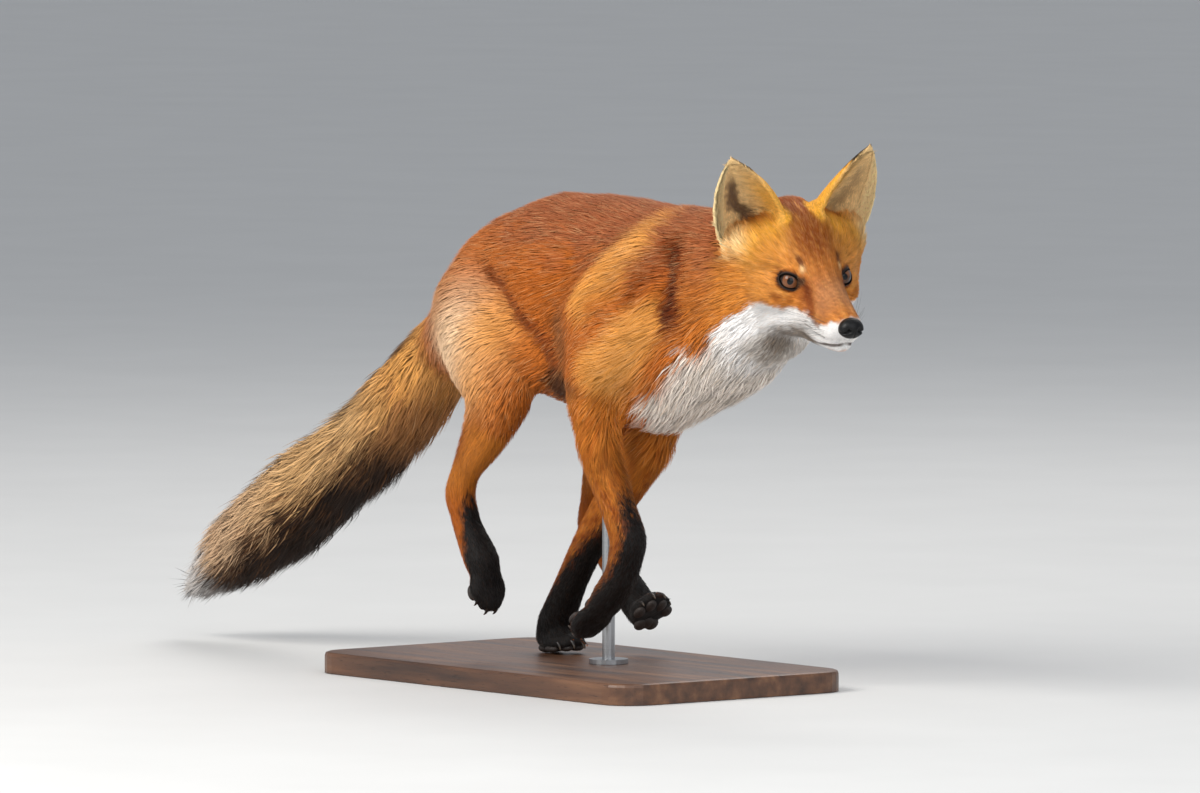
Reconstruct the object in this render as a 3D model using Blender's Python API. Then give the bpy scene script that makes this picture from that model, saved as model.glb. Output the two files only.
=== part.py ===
"""A life-size red fox in a bounding run, held by a plain display stand.

The fox runs towards +X, its left side is +Y and +Z is up. The origin is the middle of the underside
of the stand's base. The body is modelled whole, from hulls round named balls of flesh and coat, and
is then parted into its named pieces by thin cuts.
"""

import math

import bmesh
import bpy
from mathutils import Euler, Matrix, Vector

CM = 0.01

# Stand
BASE_LENGTH = 0.44
BASE_WIDTH = 0.25
BASE_THICKNESS = 0.018
BASE_CORNER = 0.03
BASE_EDGE = 0.003
ROD_RADIUS = 0.0055
ROD_SIDES = 24
ROD_PLACE = (0.040, 0.0)
ROD_DEPTH_IN_BODY = 0.03
ROD_FLANGE_RADIUS = 0.017
ROD_FLANGE_THICKNESS = 0.004

# Gaps and mesh sizes
GAP = 0.0003
VOXEL = 0.003
BODY_TRIANGLES = 4000
BALL_RINGS = 12
BALL_SIDES = 18
SMALL_RINGS = 8
SMALL_SIDES = 14
MELT_EASING = 6

# Head, in its own frame: +x along the muzzle, +y to its left, +z up, origin between the eyes
HEAD_PLACE = (34.5, -1.3, 34.8)
HEAD_YAW = math.radians(-16.0)
HEAD_PITCH = math.radians(13.0)
HEAD_ROLL = math.radians(3.5)

# Eyes and nose, in the head's frame, in centimetres
EYE_PLACE = (-1.05, 1.95, -0.25)
EYE_RADIUS = 0.95
NOSE_PLACE = (7.5, 0.0, -2.3)
NOSE_RADII = (0.95, 1.12, 0.85)

# Ears, in the head's frame, in centimetres
EAR_HEIGHT = 8.4
EAR_HALF_WIDTH = 2.85
EAR_TAPER = 2.1
EAR_BELLY = 0.33
EAR_CURL_AT_BASE = math.radians(96.0)
EAR_CURL_AT_TIP = math.radians(44.0)
EAR_TIP_FORWARD = 0.9
EAR_THICKNESS = 0.42
EAR_PITCH = math.radians(6.0)
EARS = {
    "left": ((-4.8, 3.65, 2.1), math.radians(-13.0), math.radians(20.0)),
    "right": ((-4.8, -3.9, 2.1), math.radians(17.0), math.radians(-20.0)),
}
EAR_FOOT = -0.12
EAR_COLUMNS = 10
EAR_ROWS = 9

# Colours
RUSSET = (0.53, 0.20, 0.045)
CREAM = (0.80, 0.74, 0.66)
SOOT = (0.025, 0.02, 0.02)
AMBER = (0.45, 0.22, 0.06)
TAIL_BROWN = (0.36, 0.22, 0.12)
WOOD = (0.32, 0.22, 0.14)
STEEL = (0.55, 0.55, 0.56)

# A ball of flesh: its centre and its half sizes along x, y and z, in centimetres, and its pitch,
# which tips its front end down, in degrees. Z counts from the top of the stand's base.
TRUNK = {
    "rump": ((-13.2, 0.0, 28.2), (4.5, 5.5, 5.3), 35),
    "loin": ((-9.0, 0.0, 31.4), (5.5, 6.3, 7.0), 15),
    "barrel": ((-1.5, 0.0, 31.5), (6.0, 7.0, 9.0), 0),
    "ribs": ((6.0, 0.0, 30.6), (6.5, 7.6, 9.9), 0),
    "breast": ((12.6, 0.0, 29.8), (5.6, 7.2, 8.2), 0),
}
NECK = {
    "withers": ((12.5, 0.0, 32.6), (6.0, 6.9, 7.4), 0),
    "crest": ((19.0, -0.2, 33.4), (5.0, 6.4, 6.6), 0),
    "nape": ((25.0, -0.5, 34.6), (4.5, 5.8, 6.3), 0),
    "poll": ((28.4, 0.5, 36.6), (3.9, 4.9, 5.0), 0),
}
CHEST_BIB = {
    "throat": ((26.8, -0.8, 31.0), (4.2, 4.9, 4.4), 0),
    "bib": ((19.6, 0.0, 28.2), (4.2, 5.4, 5.2), 0),
    "keel": ((12.0, 0.0, 25.0), (4.6, 5.0, 4.6), 0),
}
TAIL = {
    "dock": ((-18.0, 0.0, 26.6), (3.0, 3.6, 3.0), 0),
    "tail_root": ((-23.2, 0.0, 22.0), (4.4, 4.4, 4.4), 0),
    "tail_quarter": ((-29.6, 0.0, 17.3), (4.35, 4.35, 4.35), 0),
    "tail_half": ((-37.1, 0.0, 13.0), (4.3, 4.3, 4.3), 0),
    "tail_three_quarters": ((-43.7, 0.0, 9.3), (3.9, 3.9, 3.9), 0),
    "tail_brush": ((-49.6, 0.0, 6.1), (2.8, 2.8, 2.8), 0),
    "tail_end": ((-54.2, 0.0, 3.6), (0.9, 0.9, 0.9), 0),
}
HEAD = {
    "cranium": ((-5.2, 0.0, 0.9), (4.4, 4.9, 4.0), 0),
    "forehead": ((-1.9, 0.0, 0.3), (2.4, 3.0, 2.7), 0),
    "stop": ((0.9, 0.0, -1.0), (2.0, 1.8, 2.0), 0),
    "bridge": ((3.7, 0.0, -1.75), (1.7, 1.5, 1.5), 0),
    "muzzle_tip": ((6.4, 0.0, -2.4), (1.2, 1.3, 1.15), 0),
}
JAW = {
    "jowl": ((-3.8, 0.0, -3.4), (3.6, 4.5, 2.8), 0),
    "mandible": ((0.6, 0.0, -4.1), (2.2, 2.1, 1.5), 0),
    "chin": ((5.2, 0.0, -4.3), (1.05, 1.0, 0.75), 0),
}
CHEEK = {
    "zygoma": ((-1.8, 2.6, -1.7), (2.2, 1.75, 1.7), 0),
    "ruff": ((-5.6, 3.2, -2.3), (2.7, 2.8, 3.0), 0),
    "ear_muscle": ((-5.8, 4.3, 1.0), (2.1, 2.1, 2.6), 0),
    "temple": ((-3.4, 2.7, 1.2), (2.0, 2.0, 2.2), 0),
}
FLEW = {
    "cheek_pad": ((1.6, 1.35, -2.9), (1.4, 0.9, 1.1), 0),
    "whisker_pad": ((5.6, 0.75, -2.95), (1.3, 0.8, 0.95), 0),
}

# Legs. A leg is a chain of chains, each one a run of balls.
FORE_RIGHT = (
    {
        "shoulder": ((11.0, -4.2, 31.5), (4.2, 3.6, 5.0), 0),
        "upper_arm": ((8.6, -4.8, 25.8), (3.8, 2.9, 3.6), 0),
    },
    {
        "elbow": ((8.0, -4.8, 23.2), (3.2, 2.3, 2.4), 0),
        "forearm": ((9.0, -4.7, 18.6), (2.3, 1.8, 2.3), 0),
        "shin": ((11.0, -4.5, 14.2), (1.75, 1.5, 1.8), 0),
        "wrist": ((12.4, -4.3, 11.3), (1.75, 1.6, 1.8), 0),
    },
    {
        "wrist": ((12.4, -4.3, 11.3), (1.75, 1.6, 1.8), 0),
        "cannon": ((11.2, -4.2, 8.2), (1.6, 1.5, 1.6), 0),
        "knuckle": ((9.0, -4.1, 6.0), (1.5, 1.7, 1.4), 0),
    },
)
FORE_LEFT = (
    {
        "shoulder": ((10.5, 4.2, 30.5), (4.2, 3.6, 5.0), 0),
        "upper_arm": ((7.4, 4.7, 25.0), (3.8, 2.9, 3.6), 0),
    },
    {
        "elbow": ((5.9, 4.6, 22.0), (3.1, 2.3, 2.4), 0),
        "forearm": ((3.3, 4.3, 17.6), (2.4, 1.9, 2.4), 0),
        "shin": ((-0.6, 3.8, 13.0), (1.9, 1.6, 1.9), 0),
        "wrist": ((-3.0, 3.4, 9.9), (1.6, 1.5, 1.6), 0),
    },
    {
        "wrist": ((-3.0, 3.4, 9.9), (1.6, 1.5, 1.6), 0),
        "cannon": ((-5.2, 3.2, 6.4), (1.45, 1.5, 1.5), 0),
        "knuckle": ((-7.3, 3.0, 2.7), (1.5, 1.8, 1.4), 0),
    },
)
HIND_RIGHT = (
    {
        "hip": ((-11.2, -3.2, 29.6), (4.0, 3.3, 4.8), 0),
        "thigh": ((-6.8, -4.6, 26.0), (5.2, 3.0, 4.4), 0),
    },
    {
        "thigh": ((-6.8, -4.6, 26.0), (5.2, 3.0, 4.4), 0),
        "stifle": ((-4.6, -5.0, 22.8), (3.6, 2.4, 2.8), 0),
        "gaskin": ((-7.2, -5.0, 18.9), (2.3, 1.8, 2.2), 0),
        "shank": ((-9.6, -5.0, 16.2), (1.45, 1.25, 1.5), 0),
        "hock": ((-10.6, -5.0, 14.0), (1.55, 1.3, 1.7), 0),
    },
    {
        "hock": ((-10.6, -5.0, 14.0), (1.55, 1.3, 1.7), 0),
        "cannon": ((-9.3, -5.0, 11.0), (1.35, 1.3, 1.6), 0),
        "knuckle": ((-7.4, -5.0, 8.4), (1.6, 1.7, 1.6), 0),
    },
)
HIND_LEFT = (
    {
        "hip": ((-11.2, 3.2, 29.6), (4.0, 3.3, 4.8), 0),
        "thigh": ((-5.6, 5.2, 25.6), (5.0, 3.0, 4.4), 0),
    },
    {
        "thigh": ((-5.6, 5.2, 25.6), (5.0, 3.0, 4.4), 0),
        "stifle": ((-3.6, 6.4, 22.2), (3.4, 2.4, 2.8), 0),
        "gaskin": ((-5.6, 7.2, 17.4), (2.2, 1.8, 2.2), 0),
        "shank": ((-7.8, 7.8, 13.4), (1.5, 1.3, 1.5), 0),
        "hock": ((-8.6, 8.0, 10.8), (1.6, 1.35, 1.7), 0),
    },
    {
        "hock": ((-8.6, 8.0, 10.8), (1.6, 1.35, 1.7), 0),
        "cannon": ((-5.4, 8.0, 7.6), (1.4, 1.3, 1.4), 0),
        "knuckle": ((-2.5, 8.0, 4.7), (1.5, 1.7, 1.5), 0),
    },
)

# Paws: where the middle of the pads lies, the paw's pitch (its toes dip) and yaw in degrees, and
# the paw's size beside that of the forepaw
PAWS = {
    "fore_right": ((7.2, -4.0, 4.5), 138, 0, 1.0),
    "fore_left": ((-6.9, 3.0, 1.05), 0, 0, 1.0),
    "hind_right": ((-6.7, -5.0, 6.6), 76, 0, 0.95),
    "hind_left": ((-0.7, 8.0, 3.7), -38, -12, 0.95),
}
TOES = {
    "inner": ((0.6, -1.35, -0.05), (1.45, 0.72, 0.82)),
    "inner_middle": ((1.45, -0.52, 0.1), (1.55, 0.7, 0.9)),
    "outer_middle": ((1.45, 0.52, 0.1), (1.55, 0.7, 0.9)),
    "outer": ((0.6, 1.35, -0.05), (1.45, 0.72, 0.82)),
}
PALM = ((-0.9, 0.0, 0.1), (1.5, 1.55, 1.05))
CLAW_LENGTH = 0.95
CLAW_RADIUS = 0.22
CLAW_ROOT = 0.7
CLAW_DIP = math.radians(105.0)

# Working depths and angles
GROUND_DEPTH = 0.05
SHARP_ANGLE = math.radians(40.0)

# Thin cuts that part the whole body: the middle of the cut, its normal, and its two half sizes. The
# first half size runs across the body, or along it where the normal stands upright.
CUTS = {
    "neck_to_trunk": ((15.6, 0.0, 31.5), (1.0, 0.0, 0.18), (13.0, 13.0)),
    "head_to_neck": ((27.6, 0.4, 34.5), (0.94, -0.2, 0.16), (10.0, 10.0)),
    "tail_to_trunk": ((-20.2, 0.0, 25.2), (0.76, 0.0, 0.65), (6.0, 6.0)),
    "tail_first": ((-31.5, 0.0, 16.3), (0.82, 0.0, 0.57), (6.5, 6.5)),
    "tail_second": ((-43.7, 0.0, 9.3), (0.85, 0.0, 0.53), (6.5, 6.5)),
    "shoulder_right": ((9.0, -4.8, 22.3), (0.0, 0.6, 0.8), (8.0, 6.0)),
    "shoulder_left": ((9.0, 4.8, 22.3), (0.0, -0.6, 0.8), (8.0, 6.0)),
    "hip_right": ((-6.5, -4.8, 24.3), (0.0, 0.6, 0.8), (8.0, 6.0)),
    "hip_left": ((-6.5, 4.8, 24.3), (0.0, -0.6, 0.8), (8.0, 6.0)),
    "wrist_right": ((12.2, -4.3, 11.9), (0.2, 0.0, 1.0), (3.0, 3.0)),
    "wrist_left": ((-2.7, 3.5, 10.4), (0.6, 0.1, 0.9), (3.0, 3.0)),
    "hock_right": ((-10.5, -5.0, 13.0), (-0.2, 0.0, 1.0), (3.0, 3.0)),
    "hock_left": ((-8.0, 8.0, 10.2), (-0.75, 0.0, 0.65), (3.0, 3.0)),
}


def clear_scene():
    """Removes every object that the start-up file brought."""
    for old in list(bpy.data.objects):
        bpy.data.objects.remove(old, do_unlink=True)


def material(name, colour, roughness=0.8, metallic=0.0):
    """A Principled material of one colour."""
    made = bpy.data.materials.new(name)
    made.use_nodes = True
    shader = made.node_tree.nodes["Principled BSDF"]
    shader.inputs["Base Color"].default_value = (*colour, 1.0)
    shader.inputs["Roughness"].default_value = roughness
    shader.inputs["Metallic"].default_value = metallic
    return made


def new_object(name, shape):
    """Links a mesh object made from a bmesh, and frees the bmesh."""
    mesh = bpy.data.meshes.new(name)
    shape.to_mesh(mesh)
    shape.free()
    made = bpy.data.objects.new(name, mesh)
    bpy.context.scene.collection.objects.link(made)
    return made


def settle(thing):
    """Gives the object the mesh that its modifiers make, and removes the modifiers."""
    graph = bpy.context.evaluated_depsgraph_get()
    shaped = bpy.data.meshes.new_from_object(thing.evaluated_get(graph))
    thing.modifiers.clear()
    thing.data = shaped
    return thing


def remove(thing):
    """Removes a helper object."""
    bpy.data.objects.remove(thing, do_unlink=True)


def floor_height():
    """The height of the stand's top, which the foot that bears rests on."""
    return BASE_THICKNESS + GAP


def body_matrix():
    """Takes the body's centimetres, over the stand's top, to metres in the part's frame."""
    return Matrix.Translation((0.0, 0.0, floor_height())) @ Matrix.Scale(CM, 4)


def head_matrix():
    """Takes the head's own centimetres to metres in the part's frame."""
    turn = Euler((HEAD_ROLL, HEAD_PITCH, HEAD_YAW), "XYZ").to_matrix().to_4x4()
    return body_matrix() @ Matrix.Translation(HEAD_PLACE) @ turn


def mirrored(balls):
    """The same balls on the other side of the middle plane."""
    return {
        name: ((x, -y, z), radii, pitch)
        for name, ((x, y, z), radii, pitch) in balls.items()
    }


def add_ball(shape, ball):
    """Adds one ball."""
    centre, radii, pitch = ball
    place = (
        Matrix.Translation(centre)
        @ Matrix.Rotation(math.radians(pitch), 4, "Y")
        @ Matrix.Diagonal((*radii, 1.0))
    )
    bmesh.ops.create_uvsphere(
        shape, u_segments=BALL_SIDES, v_segments=BALL_RINGS, radius=1.0, matrix=place
    )


def add_hull(shape, balls, matrix):
    """Adds the hull round some balls, as a closed surface."""
    part = bmesh.new()
    for ball in balls:
        add_ball(part, ball)
    bmesh.ops.delete(part, geom=part.faces[:], context="FACES_ONLY")
    hull = bmesh.ops.convex_hull(part, input=part.verts[:])
    loose = [item for item in hull["geom_interior"] if isinstance(item, bmesh.types.BMVert)]
    bmesh.ops.delete(part, geom=loose, context="VERTS")
    bmesh.ops.recalc_face_normals(part, faces=part.faces[:])
    bmesh.ops.transform(part, matrix=matrix, verts=part.verts[:])
    held = bpy.data.meshes.new("hull")
    part.to_mesh(held)
    part.free()
    shape.from_mesh(held)
    bpy.data.meshes.remove(held)


def add_chain(shape, balls, matrix):
    """Adds a hull round each pair of neighbours in a run of balls."""
    run = list(balls.values())
    for pair in zip(run, run[1:]):
        add_hull(shape, pair, matrix)


def paw_matrix(paw):
    """Takes a paw's own centimetres to metres in the part's frame."""
    place, pitch, yaw, _ = PAWS[paw]
    turn = Euler((0.0, math.radians(pitch), math.radians(yaw)), "XYZ").to_matrix().to_4x4()
    return body_matrix() @ Matrix.Translation(place) @ turn


def add_paw(shape, paw, knuckle):
    """Adds the palm and toes of one paw, and the flesh that joins them to the leg."""
    matrix = paw_matrix(paw)
    size = PAWS[paw][3]
    to_paw = matrix.inverted() @ body_matrix()
    centre, radii, _ = knuckle
    above = (tuple(to_paw @ Vector(centre)), radii, 0)
    palm = (tuple(Vector(PALM[0]) * size), tuple(Vector(PALM[1]) * size), 0)
    add_hull(shape, (above, palm), matrix)
    for place, radii in TOES.values():
        toe = (tuple(Vector(place) * size), tuple(Vector(radii) * size), 0)
        add_hull(shape, (toe,), matrix)


def whole_body():
    """The fox without its ears, eyes and nose, as one closed mesh."""
    shape = bmesh.new()
    for chain in (TRUNK, NECK, CHEST_BIB, TAIL):
        add_chain(shape, chain, body_matrix())
    add_hull(shape, (TRUNK["breast"], NECK["withers"]), body_matrix())
    add_hull(shape, (TRUNK["ribs"], NECK["withers"]), body_matrix())
    add_hull(shape, (TRUNK["rump"], TAIL["dock"]), body_matrix())
    add_chain(shape, HEAD, head_matrix())
    add_chain(shape, JAW, head_matrix())
    for chain in (CHEEK, FLEW):
        add_chain(shape, chain, head_matrix())
        add_chain(shape, mirrored(chain), head_matrix())
    add_hull(shape, (HEAD["stop"], JAW["mandible"]), head_matrix())
    add_hull(shape, (HEAD["cranium"], JAW["jowl"]), head_matrix())
    legs = (
        (FORE_RIGHT, "fore_right"),
        (FORE_LEFT, "fore_left"),
        (HIND_RIGHT, "hind_right"),
        (HIND_LEFT, "hind_left"),
    )
    for leg, paw in legs:
        for chain in leg:
            add_chain(shape, chain, body_matrix())
        add_paw(shape, paw, leg[-1]["knuckle"])
    body = new_object("body", shape)
    melt = body.modifiers.new("melt", "REMESH")
    melt.mode = "VOXEL"
    melt.voxel_size = VOXEL
    ease = body.modifiers.new("ease", "SMOOTH")
    ease.factor = 0.5
    ease.iterations = MELT_EASING
    settle(body)
    thin = body.modifiers.new("thin", "DECIMATE")
    thin.ratio = BODY_TRIANGLES / sum(len(face.vertices) - 2 for face in body.data.polygons)
    return settle(body)


def cut(body, cutter, operation="DIFFERENCE"):
    """Applies one exact Boolean to the body."""
    change = body.modifiers.new("cut", "BOOLEAN")
    change.operation = operation
    change.solver = "EXACT"
    change.object = cutter
    return settle(body)


def plate(centre, normal, halves):
    """A thin plate that parts what it crosses."""
    facing = Vector(normal).normalized()
    along = Vector((0.0, 1.0, 0.0)) if abs(facing.y) < 0.5 else Vector((1.0, 0.0, 0.0))
    across = facing.cross(along).normalized()
    along = across.cross(facing)
    turn = Matrix((along, across, facing)).transposed().to_4x4()
    flat = Matrix.Diagonal((2 * halves[0] * CM, 2 * halves[1] * CM, GAP, 1.0))
    shape = bmesh.new()
    place = Matrix.Translation(body_matrix() @ Vector(centre))
    bmesh.ops.create_cube(shape, size=1.0, matrix=place @ turn @ flat)
    return new_object("plate", shape)


def eyeball(side, spare=0.0):
    """One eye, or the socket that it sits in when spare is the gap round it."""
    shape = bmesh.new()
    x, y, z = EYE_PLACE
    place = head_matrix() @ Matrix.Translation((x, y * side, z))
    bmesh.ops.create_uvsphere(
        shape, u_segments=SMALL_SIDES, v_segments=SMALL_RINGS, radius=EYE_RADIUS + spare / CM, matrix=place
    )
    return new_object("eye_left" if side > 0 else "eye_right", shape)


def nose_pad(spare=0.0):
    """The bare nose, or the seat that it sits in when spare is the gap round it."""
    shape = bmesh.new()
    radii = [radius + spare / CM for radius in NOSE_RADII]
    place = head_matrix() @ Matrix.Translation(NOSE_PLACE) @ Matrix.Diagonal((*radii, 1.0))
    bmesh.ops.create_uvsphere(shape, u_segments=SMALL_SIDES, v_segments=SMALL_RINGS, radius=1.0, matrix=place)
    return new_object("nose", shape)


def ear_point(across, up):
    """A point of the ear's cupped sheet, in centimetres over the middle of its base.

    across runs from one edge at -1 to the other at 1, and up from the base at 0 to the tip at 1.
    The opening looks along +x.
    """
    above = max(up, 0.0)
    half = EAR_HALF_WIDTH * (1.0 - above**EAR_TAPER) * (1.0 + EAR_BELLY * above)
    curl = EAR_CURL_AT_BASE + (EAR_CURL_AT_TIP - EAR_CURL_AT_BASE) * above
    turn = across * curl
    radius = half / math.sin(min(curl, math.pi / 2))
    deep = radius * (math.cos(turn) - math.cos(curl))
    return Vector((EAR_TIP_FORWARD * above - deep, radius * math.sin(turn), EAR_HEIGHT * up))


def ear_matrix(side):
    """Takes an ear's own centimetres to metres in the part's frame."""
    place, lean, turn = EARS[side]
    pose = Euler((lean, EAR_PITCH, turn), "XYZ").to_matrix().to_4x4()
    return head_matrix() @ Matrix.Translation(place) @ pose


def ear(side, body):
    """One ear: a cupped sheet with a real thickness, cut where it meets the head."""
    shape = bmesh.new()
    bmesh.ops.create_grid(shape, x_segments=EAR_COLUMNS, y_segments=EAR_ROWS, size=1.0)
    for vert in shape.verts:
        up = EAR_FOOT + (1.0 - EAR_FOOT) * (vert.co.y + 1.0) / 2
        vert.co = ear_point(vert.co.x, up)
    bmesh.ops.remove_doubles(shape, verts=shape.verts[:], dist=0.01)
    bmesh.ops.transform(shape, matrix=ear_matrix(side), verts=shape.verts[:])
    bmesh.ops.recalc_face_normals(shape, faces=shape.faces[:])
    made = new_object(f"ear_{side}", shape)
    wall = made.modifiers.new("wall", "SOLIDIFY")
    wall.thickness = EAR_THICKNESS * CM
    wall.offset = 0.0
    settle(made)
    cut(made, body)
    return keep_largest(made)


def keep_largest(thing):
    """Keeps the largest of the separate shells that a cut has left."""
    shape = bmesh.new()
    shape.from_mesh(thing.data)
    groups = shells(shape)
    largest = max(groups, key=len)
    spare = [vert for group in groups for vert in group if group is not largest]
    bmesh.ops.delete(shape, geom=spare, context="VERTS")
    shape.to_mesh(thing.data)
    shape.free()
    return thing


def shells(shape):
    """The vertices of each connected shell of a bmesh."""
    left = set(shape.verts)
    found = []
    while left:
        group = [left.pop()]
        for vert in group:
            for edge in vert.link_edges:
                other = edge.other_vert(vert)
                if other in left:
                    left.remove(other)
                    group.append(other)
        found.append(group)
    return found


def swollen(body):
    """A copy of the body that stands out from it by the gap, to cut its neighbours with."""
    copy = bpy.data.objects.new("swollen", body.data.copy())
    bpy.context.scene.collection.objects.link(copy)
    grow = copy.modifiers.new("grow", "DISPLACE")
    grow.mid_level = 0.0
    grow.strength = GAP
    return settle(copy)


def rod_cylinder(radius, low, high):
    """An upright cylinder on the rod's axis."""
    shape = bmesh.new()
    x, y = ROD_PLACE
    bmesh.ops.create_cone(
        shape,
        cap_ends=True,
        segments=ROD_SIDES,
        radius1=radius,
        radius2=radius,
        depth=high - low,
        matrix=Matrix.Translation((x, y, (low + high) / 2)),
    )
    return new_object("stand_rod", shape)


def belly_height(body):
    """The height of the body's underside over the rod."""
    x, y = ROD_PLACE
    hit, place, _, _ = body.ray_cast(Vector((x, y, floor_height())), Vector((0.0, 0.0, 1.0)))
    if not hit:
        raise ValueError("the rod misses the body")
    return place.z


def base_board():
    """The stand's board, with round corners and a broken edge."""
    shape = bmesh.new()
    size = Matrix.Diagonal((BASE_LENGTH, BASE_WIDTH, BASE_THICKNESS, 1.0))
    raised = Matrix.Translation((0.0, 0.0, BASE_THICKNESS / 2))
    bmesh.ops.create_cube(shape, size=1.0, matrix=raised @ size)
    upright = [edge for edge in shape.edges if abs(edge.verts[0].co.z - edge.verts[1].co.z) > GAP]
    bmesh.ops.bevel(
        shape, geom=upright, offset=BASE_CORNER, segments=6, profile=0.5, affect="EDGES", material=-1
    )
    rim = [
        edge
        for edge in shape.edges
        if min(vert.co.z for vert in edge.verts) > BASE_THICKNESS - GAP
    ]
    bmesh.ops.bevel(
        shape, geom=rim, offset=BASE_EDGE, segments=2, profile=0.5, affect="EDGES", material=-1
    )
    return new_object("stand_base", shape)


def stand(body):
    """The board, and the rod that runs up into the body through a bore of its own."""
    base = base_board()
    foot = floor_height()
    top = belly_height(body) + ROD_DEPTH_IN_BODY
    bore = rod_cylinder(ROD_RADIUS + GAP, foot, top + GAP)
    cut(body, bore)
    remove(bore)
    rod = rod_cylinder(ROD_RADIUS, foot, top)
    flange = rod_cylinder(ROD_FLANGE_RADIUS, foot, foot + ROD_FLANGE_THICKNESS)
    cut(rod, flange, "UNION")
    remove(flange)
    return base, rod


def claws(paw):
    """The four claws of one paw, as cones that start inside their toes."""
    size = PAWS[paw][3]
    matrix = paw_matrix(paw)
    shape = bmesh.new()
    for (x, y, z), (length, _, _) in TOES.values():
        root = Vector((x + length * CLAW_ROOT, y, z)) * size
        lie = Matrix.Translation(root) @ Matrix.Rotation(CLAW_DIP, 4, "Y")
        raised = Matrix.Translation((0.0, 0.0, CLAW_LENGTH * size / 2))
        bmesh.ops.create_cone(
            shape,
            cap_ends=True,
            segments=8,
            radius1=CLAW_RADIUS * size,
            radius2=CLAW_RADIUS * size / 3,
            depth=CLAW_LENGTH * size,
            matrix=matrix @ lie @ raised,
        )
    return new_object("claws", shape)


def add_claws(body):
    """Joins the claws to the toes that they grow from."""
    for paw in PAWS:
        cones = claws(paw)
        cut(body, cones, "UNION")
        remove(cones)


def level_sole(body):
    """Planes off what reaches below the stand's top, so that the bearing paw rests flat."""
    shape = bmesh.new()
    place = Matrix.Translation((0.0, 0.0, floor_height() - GROUND_DEPTH / 2))
    size = Matrix.Diagonal((2.0, 2.0, GROUND_DEPTH, 1.0))
    bmesh.ops.create_cube(shape, size=1.0, matrix=place @ size)
    ground = new_object("ground", shape)
    cut(body, ground)
    remove(ground)


def part_body(body):
    """Parts the whole body by the thin cuts, and returns its pieces."""
    for centre, normal, halves in CUTS.values():
        cutter = plate(centre, normal, halves)
        cut(body, cutter)
        remove(cutter)
    before = set(bpy.data.objects)
    bpy.context.view_layer.objects.active = body
    body.select_set(True)
    bpy.ops.object.mode_set(mode="EDIT")
    bpy.ops.mesh.select_all(action="SELECT")
    bpy.ops.mesh.separate(type="LOOSE")
    bpy.ops.object.mode_set(mode="OBJECT")
    return [body, *(thing for thing in bpy.data.objects if thing not in before)]


def seeds():
    """A point inside each named piece of the body, in metres in the part's frame."""
    at_body, at_head = body_matrix(), head_matrix()
    places = {
        "trunk": at_body @ Vector(TRUNK["barrel"][0]),
        "neck": at_body @ Vector(NECK["crest"][0]),
        "head": at_head @ Vector(HEAD["forehead"][0]),
        "tail_base": at_body @ Vector(TAIL["tail_root"][0]),
        "tail_middle": at_body @ Vector(TAIL["tail_half"][0]),
        "tail_tip": at_body @ Vector(TAIL["tail_brush"][0]),
    }
    for (_, middle, lower), side in ((FORE_RIGHT, "right"), (FORE_LEFT, "left")):
        places[f"foreleg_{side}"] = at_body @ Vector(middle["forearm"][0])
        places[f"forefoot_{side}"] = at_body @ Vector(lower["cannon"][0])
    for (_, middle, lower), side in ((HIND_RIGHT, "right"), (HIND_LEFT, "left")):
        places[f"hindleg_{side}"] = at_body @ Vector(middle["gaskin"][0])
        places[f"hindfoot_{side}"] = at_body @ Vector(lower["cannon"][0])
    return places


def inside(thing, place):
    """Whether a point lies inside a closed mesh, by the crossings of a ray straight up."""
    crossings = 0
    start = Vector(place)
    while True:
        hit, found, _, _ = thing.ray_cast(start, Vector((0.0, 0.0, 1.0)))
        if not hit:
            return crossings % 2 == 1
        crossings += 1
        start = found + Vector((0.0, 0.0, 1e-6))


def name_pieces(pieces):
    """Names each piece after the seed inside it."""
    bpy.context.view_layer.update()
    for name, place in seeds().items():
        holders = [piece for piece in pieces if inside(piece, place)]
        if len(holders) != 1:
            raise ValueError(f"{name}: {len(holders)} pieces hold its seed")
        holders[0].name = name
        holders[0].data.name = name


def finish_node(thing, finish):
    """Gives a node its material and its shading."""
    thing.data.materials.clear()
    thing.data.materials.append(finish)
    thing.data.shade_smooth()
    thing.data.set_sharp_from_angle(angle=SHARP_ANGLE)


def main():
    """Builds the fox and its stand."""
    clear_scene()
    russet = material("russet", RUSSET)
    cream = material("cream", CREAM)
    soot = material("soot", SOOT)
    brown = material("tail_brown", TAIL_BROWN)
    amber = material("amber", AMBER, roughness=0.1)
    wood = material("wood", WOOD, roughness=0.5)
    steel = material("steel", STEEL, roughness=0.3, metallic=1.0)

    body = whole_body()
    add_claws(body)
    level_sole(body)
    base, rod = stand(body)
    seats = [eyeball(1, GAP), eyeball(-1, GAP), nose_pad(GAP)]
    grown = swollen(body)
    ears = [ear(side, grown) for side in EARS]
    remove(grown)
    for seat in seats:
        cut(body, seat)
        remove(seat)
    eyes = [eyeball(1), eyeball(-1)]
    nose = nose_pad()
    pieces = part_body(body)
    name_pieces(pieces)

    dark = {"forefoot_left", "forefoot_right", "hindfoot_left", "hindfoot_right"}
    for piece in pieces:
        finish = soot if piece.name in dark else russet
        if piece.name.startswith("tail"):
            finish = brown
        finish_node(piece, finish)
    for thing in ears:
        finish_node(thing, cream)
    for thing in eyes:
        finish_node(thing, amber)
    finish_node(nose, soot)
    finish_node(base, wood)
    finish_node(rod, steel)


main()
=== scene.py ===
"""A life-size red fox on a museum stand: one skin, its coat in tufts, and its bare pieces.

Lengths in the tables are centimetres, measured from the top of the stand's base, with the nose
towards +X and the fox's left towards +Y. The head and each ear have frames of their own. Finished
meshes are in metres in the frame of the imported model.
"""

import logging
import math
from collections.abc import Callable, Iterable, Sequence
from dataclasses import dataclass, field, replace
from enum import Enum
from itertools import product

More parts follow.
